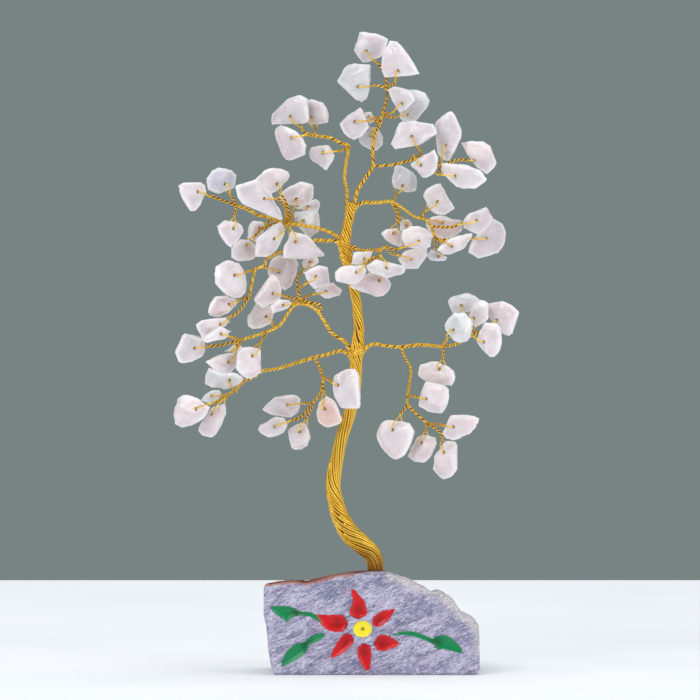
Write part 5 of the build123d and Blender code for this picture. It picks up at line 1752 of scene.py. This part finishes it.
def fill_paint(settings):
    """Paint in every gouge of the stone."""
    draw = random.Random(settings.seed)
    # Each enamel's second colour, here and for the centre below, is its painted shade
    jobs = [
        ("petal_enamel", "petal_paint", "petal_red", [(rows, PETAL_SHADE_SHARE) for rows in PETALS],
         enamel("Red enamel", (206, 8, 20), (150, 4, 12))),
        ("leaf_enamel", "leaf_paint", "leaf_green", list(zip(LEAVES, LEAF_SHADE_SHARES)),
         enamel("Green enamel", (8, 132, 78), (2, 76, 42))),
    ]
    for name, node, slot, motifs, material in jobs:
        points, faces, deep, edge = [], [], [], []
        for rows, dark in motifs:
            part = paint_motif(rows, dark, settings, draw)
            start = sum(len(block) for block in points)
            points.append(part[0])
            faces += [tuple(corner + start for corner in face) for face in part[1]]
            deep += part[2]
            edge += part[3]
        finish_paint(name, node, slot, np.vstack(points), faces, deep, edge, material)
    parts = paint_centre(settings)
    finish_paint("centre_enamel", "eye_paint", "centre_yellow", *parts,
                 enamel("Yellow enamel", (240, 222, 44), (120, 104, 20)))


def finish_paint(name, node, slot, points, faces, deep, edge, material):
    """One colour of paint as a piece, with the values that its material reads."""
    piece = new_object(name, points, faces, material)
    shape = bmesh.new()
    shape.from_mesh(piece.data)
    bmesh.ops.recalc_face_normals(shape, faces=shape.faces)
    shape.to_mesh(piece.data)
    shape.free()
    piece.data.set_sharp_from_angle(angle=STONE_SHARP)
    give(piece, "deep", deep)
    give(piece, "edge", edge)
    seat(piece, slot, node)


def set_stage(settings):
    """The table, the backdrop, the lamps and the photograph's camera."""
    scene = bpy.context.scene
    centre = place(VIEW_CENTRE_PIXEL, VIEW_CENTRE_PIXEL)
    aim = Vector(centre) + Vector((0, 0, settings.aim_shift))
    away = Vector((0, -cos(settings.elevation), sin(settings.elevation)))
    camera = bpy.data.cameras.new("Camera")
    camera.sensor_width = SENSOR
    camera.lens = VIEW_ZOOM * SENSOR * settings.distance / (PICTURE_PIXELS * TREE_SCALE)
    camera.clip_start = 0.05
    camera.clip_end = 20
    eye = bpy.data.objects.new("Camera", camera)
    eye.location = aim + away * settings.distance
    eye.rotation_euler = (-away).to_track_quat("-Z", "Y").to_euler()
    scene.collection.objects.link(eye)
    scene.camera = eye
    drop = atan2((HORIZON_PIXEL - VIEW_CENTRE_PIXEL) * TREE_SCALE, settings.distance) + settings.elevation
    far = eye.location.y + eye.location.z / tan(drop)
    corners = [(-TABLE_HALF_WIDTH, TABLE_NEAR, 0), (TABLE_HALF_WIDTH, TABLE_NEAR, 0),
               (TABLE_HALF_WIDTH, far, 0), (-TABLE_HALF_WIDTH, far, 0)]
    table = new_object("table_top", corners, [(0, 1, 2, 3)], table_top(), smooth=False)
    for name, spot, size, power in LAMPS:
        lamp = bpy.data.lights.new(name, "AREA")
        lamp.shape = "DISK"
        lamp.size = size
        lamp.energy = power * settings.lamps
        lamp.color = (1.0, 0.98, 0.96)
        holder = bpy.data.objects.new(name, lamp)
        holder.location = spot
        holder.rotation_euler = (Vector(LAMP_AIM) - Vector(spot)).to_track_quat("-Z", "Y").to_euler()
        scene.collection.objects.link(holder)
    world = bpy.data.worlds.new("Room")
    scene.world = world
    world.use_nodes = True
    world.node_tree.nodes.clear()
    nodes = Nodes(world.node_tree)
    lit = nodes.add("ShaderNodeBackground", {"Color": (0.96, 0.98, 1.0, 1), "Strength": settings.room_light})
    shown = backdrop_light(world.node_tree, (*settings.backdrop, 1.0), lit.outputs[0])
    nodes.add("ShaderNodeOutputWorld", {"Surface": shown})
    scene.view_settings.view_transform = "Standard"


def glaze_glue():
    """The glue keeps its CAD shape and gets its own finish."""
    node = frame["nodes"]["foot_glue"]
    node.data.materials.clear()
    node.data.materials.append(glue())


def length(name, description, default):
    """A setting that is a length in metres."""
    return bpy.props.FloatProperty(name=name, description=description, default=default, unit="LENGTH")


class StoneSettings(bpy.types.PropertyGroup):
    """The carved stone."""

    grain: length("Mesh size", "Size of the faces that the stone is modelled with", 0.42 * MM)
    roughness: length("Roughness", "How rough the broken top, ends and back are", 0.32 * MM)
    regain: length("Regain", "What the sides get back of what smoothing takes off", 0.25 * MM)
    rim_width: length("Rim width", "Width of the chipped pale rim on the right", 2.0 * MM)
    rim_loss: length("Rim loss", "How much stone has crumbled off the rim", 0.8 * MM)
    lip: length("Lip", "How far the stone's face lies behind the paint's front", PAINT_LIP)
    saw_marks: length("Saw marks", "Depth of the marks left on the sawn face", 0.03 * MM)
    dish: length("Dish", "How deep the paint's surface lies in a gouge", PAINT_DISH)
    undercut: length("Undercut", "How much deeper than the paint a gouge is", 0.45 * MM)


class PaintSettings(bpy.types.PropertyGroup):
    """The enamel in the carving."""

    seed: bpy.props.IntProperty(name="Seed", description="Picks the ragged edges", default=5)
    dish: length("Dish", "How deep the paint's surface lies in a gouge", PAINT_DISH)
    lip: length("Lip", "How thick the paint is on the stone's face, beside the gouge", PAINT_LIP)
    skin: length("Thickness", "Thickness of the paint", 0.3 * MM)
    # The painted shade in the deepest part of each motif
    shade: length("Shade reach", "Size of the darker place in each motif", 2.0 * MM)


class WireSettings(bpy.types.PropertyGroup):
    """The gold wire."""

    seed: bpy.props.IntProperty(name="Seed", description="Picks how the strands wander", default=7)
    wire_radius: length("Wire radius", "Radius of the wire in the loops", WIRE_RADIUS)
    twig_wire: length("Twig wire", "Radius of each of a twig's two wires", 0.24 * MM)
    branch_wire: length("Branch strand", "Radius of a branch's strands", 0.28 * MM)
    trunk_wire: length("Trunk strand", "Radius of the trunk's strands", 0.34 * MM)
    step: length("Step", "Spacing of the points along a strand", 0.34 * MM)
    slimness: bpy.props.FloatProperty(
        name="Slimness", description="A branch's thickness as a share of its solid's", default=0.86)
    lay: bpy.props.FloatProperty(
        name="Lay", description="Slope of a branch's strands to its length", default=radians(40),
        unit="ROTATION")
    twig_pitch: length("Twig pitch", "Length of one turn of a twig's two wires", 2.7 * MM)


class ChipSettings(bpy.types.PropertyGroup):
    """The quartz chips."""

    seed: bpy.props.IntProperty(name="Seed", description="Picks facets and dents", default=11)
    grain: length("Mesh size", "Size of the faces that a chip is modelled with", 0.38 * MM)
    thickness: length("Thickness", "Thickness of a chip along its hole", 4.4 * MM)
    hole_radius: length("Hole radius", "Radius of the drilled hole", 0.48 * MM)
    wave: length("Waves", "Depth of the broad waves on a chip's faces", 0.3 * MM)
    facets: bpy.props.IntProperty(
        name="Facets", description="How many flat places a chip has on its two sides", default=5)
    dents: bpy.props.IntProperty(
        name="Dents", description="How many shell-shaped dents a chip has", default=6)
    deepest: length("Deepest", "The most that a chip's skin is sunk", 0.42 * MM)
    dent: length("Dent depth", "Depth of the shell-shaped dents", 0.34 * MM)
    # Painted shade: how much greyer the higher chips are painted than those below
    shade: bpy.props.FloatProperty(
        name="Greyness", description="How much greyer the chips at the top are than those below",
        default=0.78)
    # Painted light: width of the paler rim painted where light would shine through a chip's edge
    lit_rim_width: length("Thin rim", "Width of the thin edge that the light comes through", 1.3 * MM)


class StageSettings(bpy.types.PropertyGroup):
    """The camera, the lamps and the backdrop."""

    distance: length("Camera distance", "From the camera to the tree", VIEW_DISTANCE)
    elevation: bpy.props.FloatProperty(
        name="Camera elevation", description="How far the camera looks down", default=VIEW_ELEVATION,
        unit="ROTATION")
    aim_shift: length("Aim", "How far above its middle the tree is aimed at", -0.3 * MM)
    lamps: bpy.props.FloatProperty(name="Lamps", description="Strength of the lamps", default=1.0)
    room_light: bpy.props.FloatProperty(
        name="Room light", description="Strength of the room's light", default=0.6)
    backdrop: bpy.props.FloatVectorProperty(
        name="Backdrop", description="Colour of the backdrop", subtype="COLOR",
        default=srgb(119, 132, 131)[:3])


class GEMTREE_OT_carve_stone(bpy.types.Operator):
    """Saw, break and carve the stone"""

    bl_idname = "gemtree.carve_stone"
    bl_label = "Carve Stone"

    def execute(self, context):
        carve_stone(context.scene.gemtree_stone)
        return {"FINISHED"}


class GEMTREE_OT_fill_paint(bpy.types.Operator):
    """Fill the carved flower and leaves with enamel"""

    bl_idname = "gemtree.fill_paint"
    bl_label = "Fill Paint"

    def execute(self, context):
        fill_paint(context.scene.gemtree_paint)
        return {"FINISHED"}


class GEMTREE_OT_glaze_glue(bpy.types.Operator):
    """Give the glue in the socket its finish"""

    bl_idname = "gemtree.glaze_glue"
    bl_label = "Glaze Glue"

    def execute(self, context):
        glaze_glue()
        return {"FINISHED"}


class GEMTREE_OT_twist_trunk(bpy.types.Operator):
    """Twist the trunk's wires together"""

    bl_idname = "gemtree.twist_trunk"
    bl_label = "Twist Trunk"

    def execute(self, context):
        twist_trunk(context.scene.gemtree_wire)
        return {"FINISHED"}


class GEMTREE_OT_twist_branches(bpy.types.Operator):
    """Twist every branch, twig and loop"""

    bl_idname = "gemtree.twist_branches"
    bl_label = "Twist Branches"

    def execute(self, context):
        for number, branch in enumerate(BRANCHES):
            twist_branch(branch, number, context.scene.gemtree_wire)
        return {"FINISHED"}


class GEMTREE_OT_string_chips(bpy.types.Operator):
    """Shape the quartz chips and string them on their loops"""

    bl_idname = "gemtree.string_chips"
    bl_label = "String Chips"

    def execute(self, context):
        string_chips(context.scene.gemtree_chip)
        return {"FINISHED"}


class GEMTREE_OT_set_stage(bpy.types.Operator):
    """Set the table, the backdrop, the lamps and the camera"""

    bl_idname = "gemtree.set_stage"
    bl_label = "Set Stage"

    def execute(self, context):
        set_stage(context.scene.gemtree_stage)
        return {"FINISHED"}


class GEMTREE_PT_panel(bpy.types.Panel):
    """The gemstone tree's pieces and their sizes"""

    bl_label = "Gemstone Tree"
    bl_idname = "GEMTREE_PT_panel"
    bl_space_type = "VIEW_3D"
    bl_region_type = "UI"
    bl_category = "Gem Tree"

    def draw(self, context):
        for name, operators in STEPS.items():
            box = self.layout.box()
            settings = getattr(context.scene, name)
            for key in settings.__annotations__:
                box.prop(settings, key)
            for operator in operators:
                box.operator(operator)


SETTINGS = {
    "gemtree_stone": StoneSettings,
    "gemtree_paint": PaintSettings,
    "gemtree_wire": WireSettings,
    "gemtree_chip": ChipSettings,
    "gemtree_stage": StageSettings,
}
STEPS = {
    "gemtree_stone": ["gemtree.carve_stone"],
    "gemtree_paint": ["gemtree.fill_paint", "gemtree.glaze_glue"],
    "gemtree_wire": ["gemtree.twist_trunk", "gemtree.twist_branches"],
    "gemtree_chip": ["gemtree.string_chips"],
    "gemtree_stage": ["gemtree.set_stage"],
}
CLASSES = (
    *SETTINGS.values(), GEMTREE_OT_carve_stone, GEMTREE_OT_fill_paint, GEMTREE_OT_glaze_glue,
    GEMTREE_OT_twist_trunk, GEMTREE_OT_twist_branches, GEMTREE_OT_string_chips, GEMTREE_OT_set_stage,
    GEMTREE_PT_panel,
)


def register():
    """Adds the classes and the scene's settings to Blender."""
    for entry in CLASSES:
        bpy.utils.register_class(entry)
    for name, group in SETTINGS.items():
        setattr(bpy.types.Scene, name, bpy.props.PointerProperty(type=group))


def unregister():
    """Takes them out again."""
    for name in SETTINGS:
        delattr(bpy.types.Scene, name)
    for entry in reversed(CLASSES):
        bpy.utils.unregister_class(entry)


def main():
    """Builds every piece in order."""
    register()
    bpy.ops.gemtree.carve_stone()
    bpy.ops.gemtree.fill_paint()
    bpy.ops.gemtree.glaze_glue()
    bpy.ops.gemtree.twist_trunk()
    bpy.ops.gemtree.twist_branches()
    bpy.ops.gemtree.string_chips()
    bpy.ops.gemtree.set_stage()


if __name__ == "__main__":
    main()
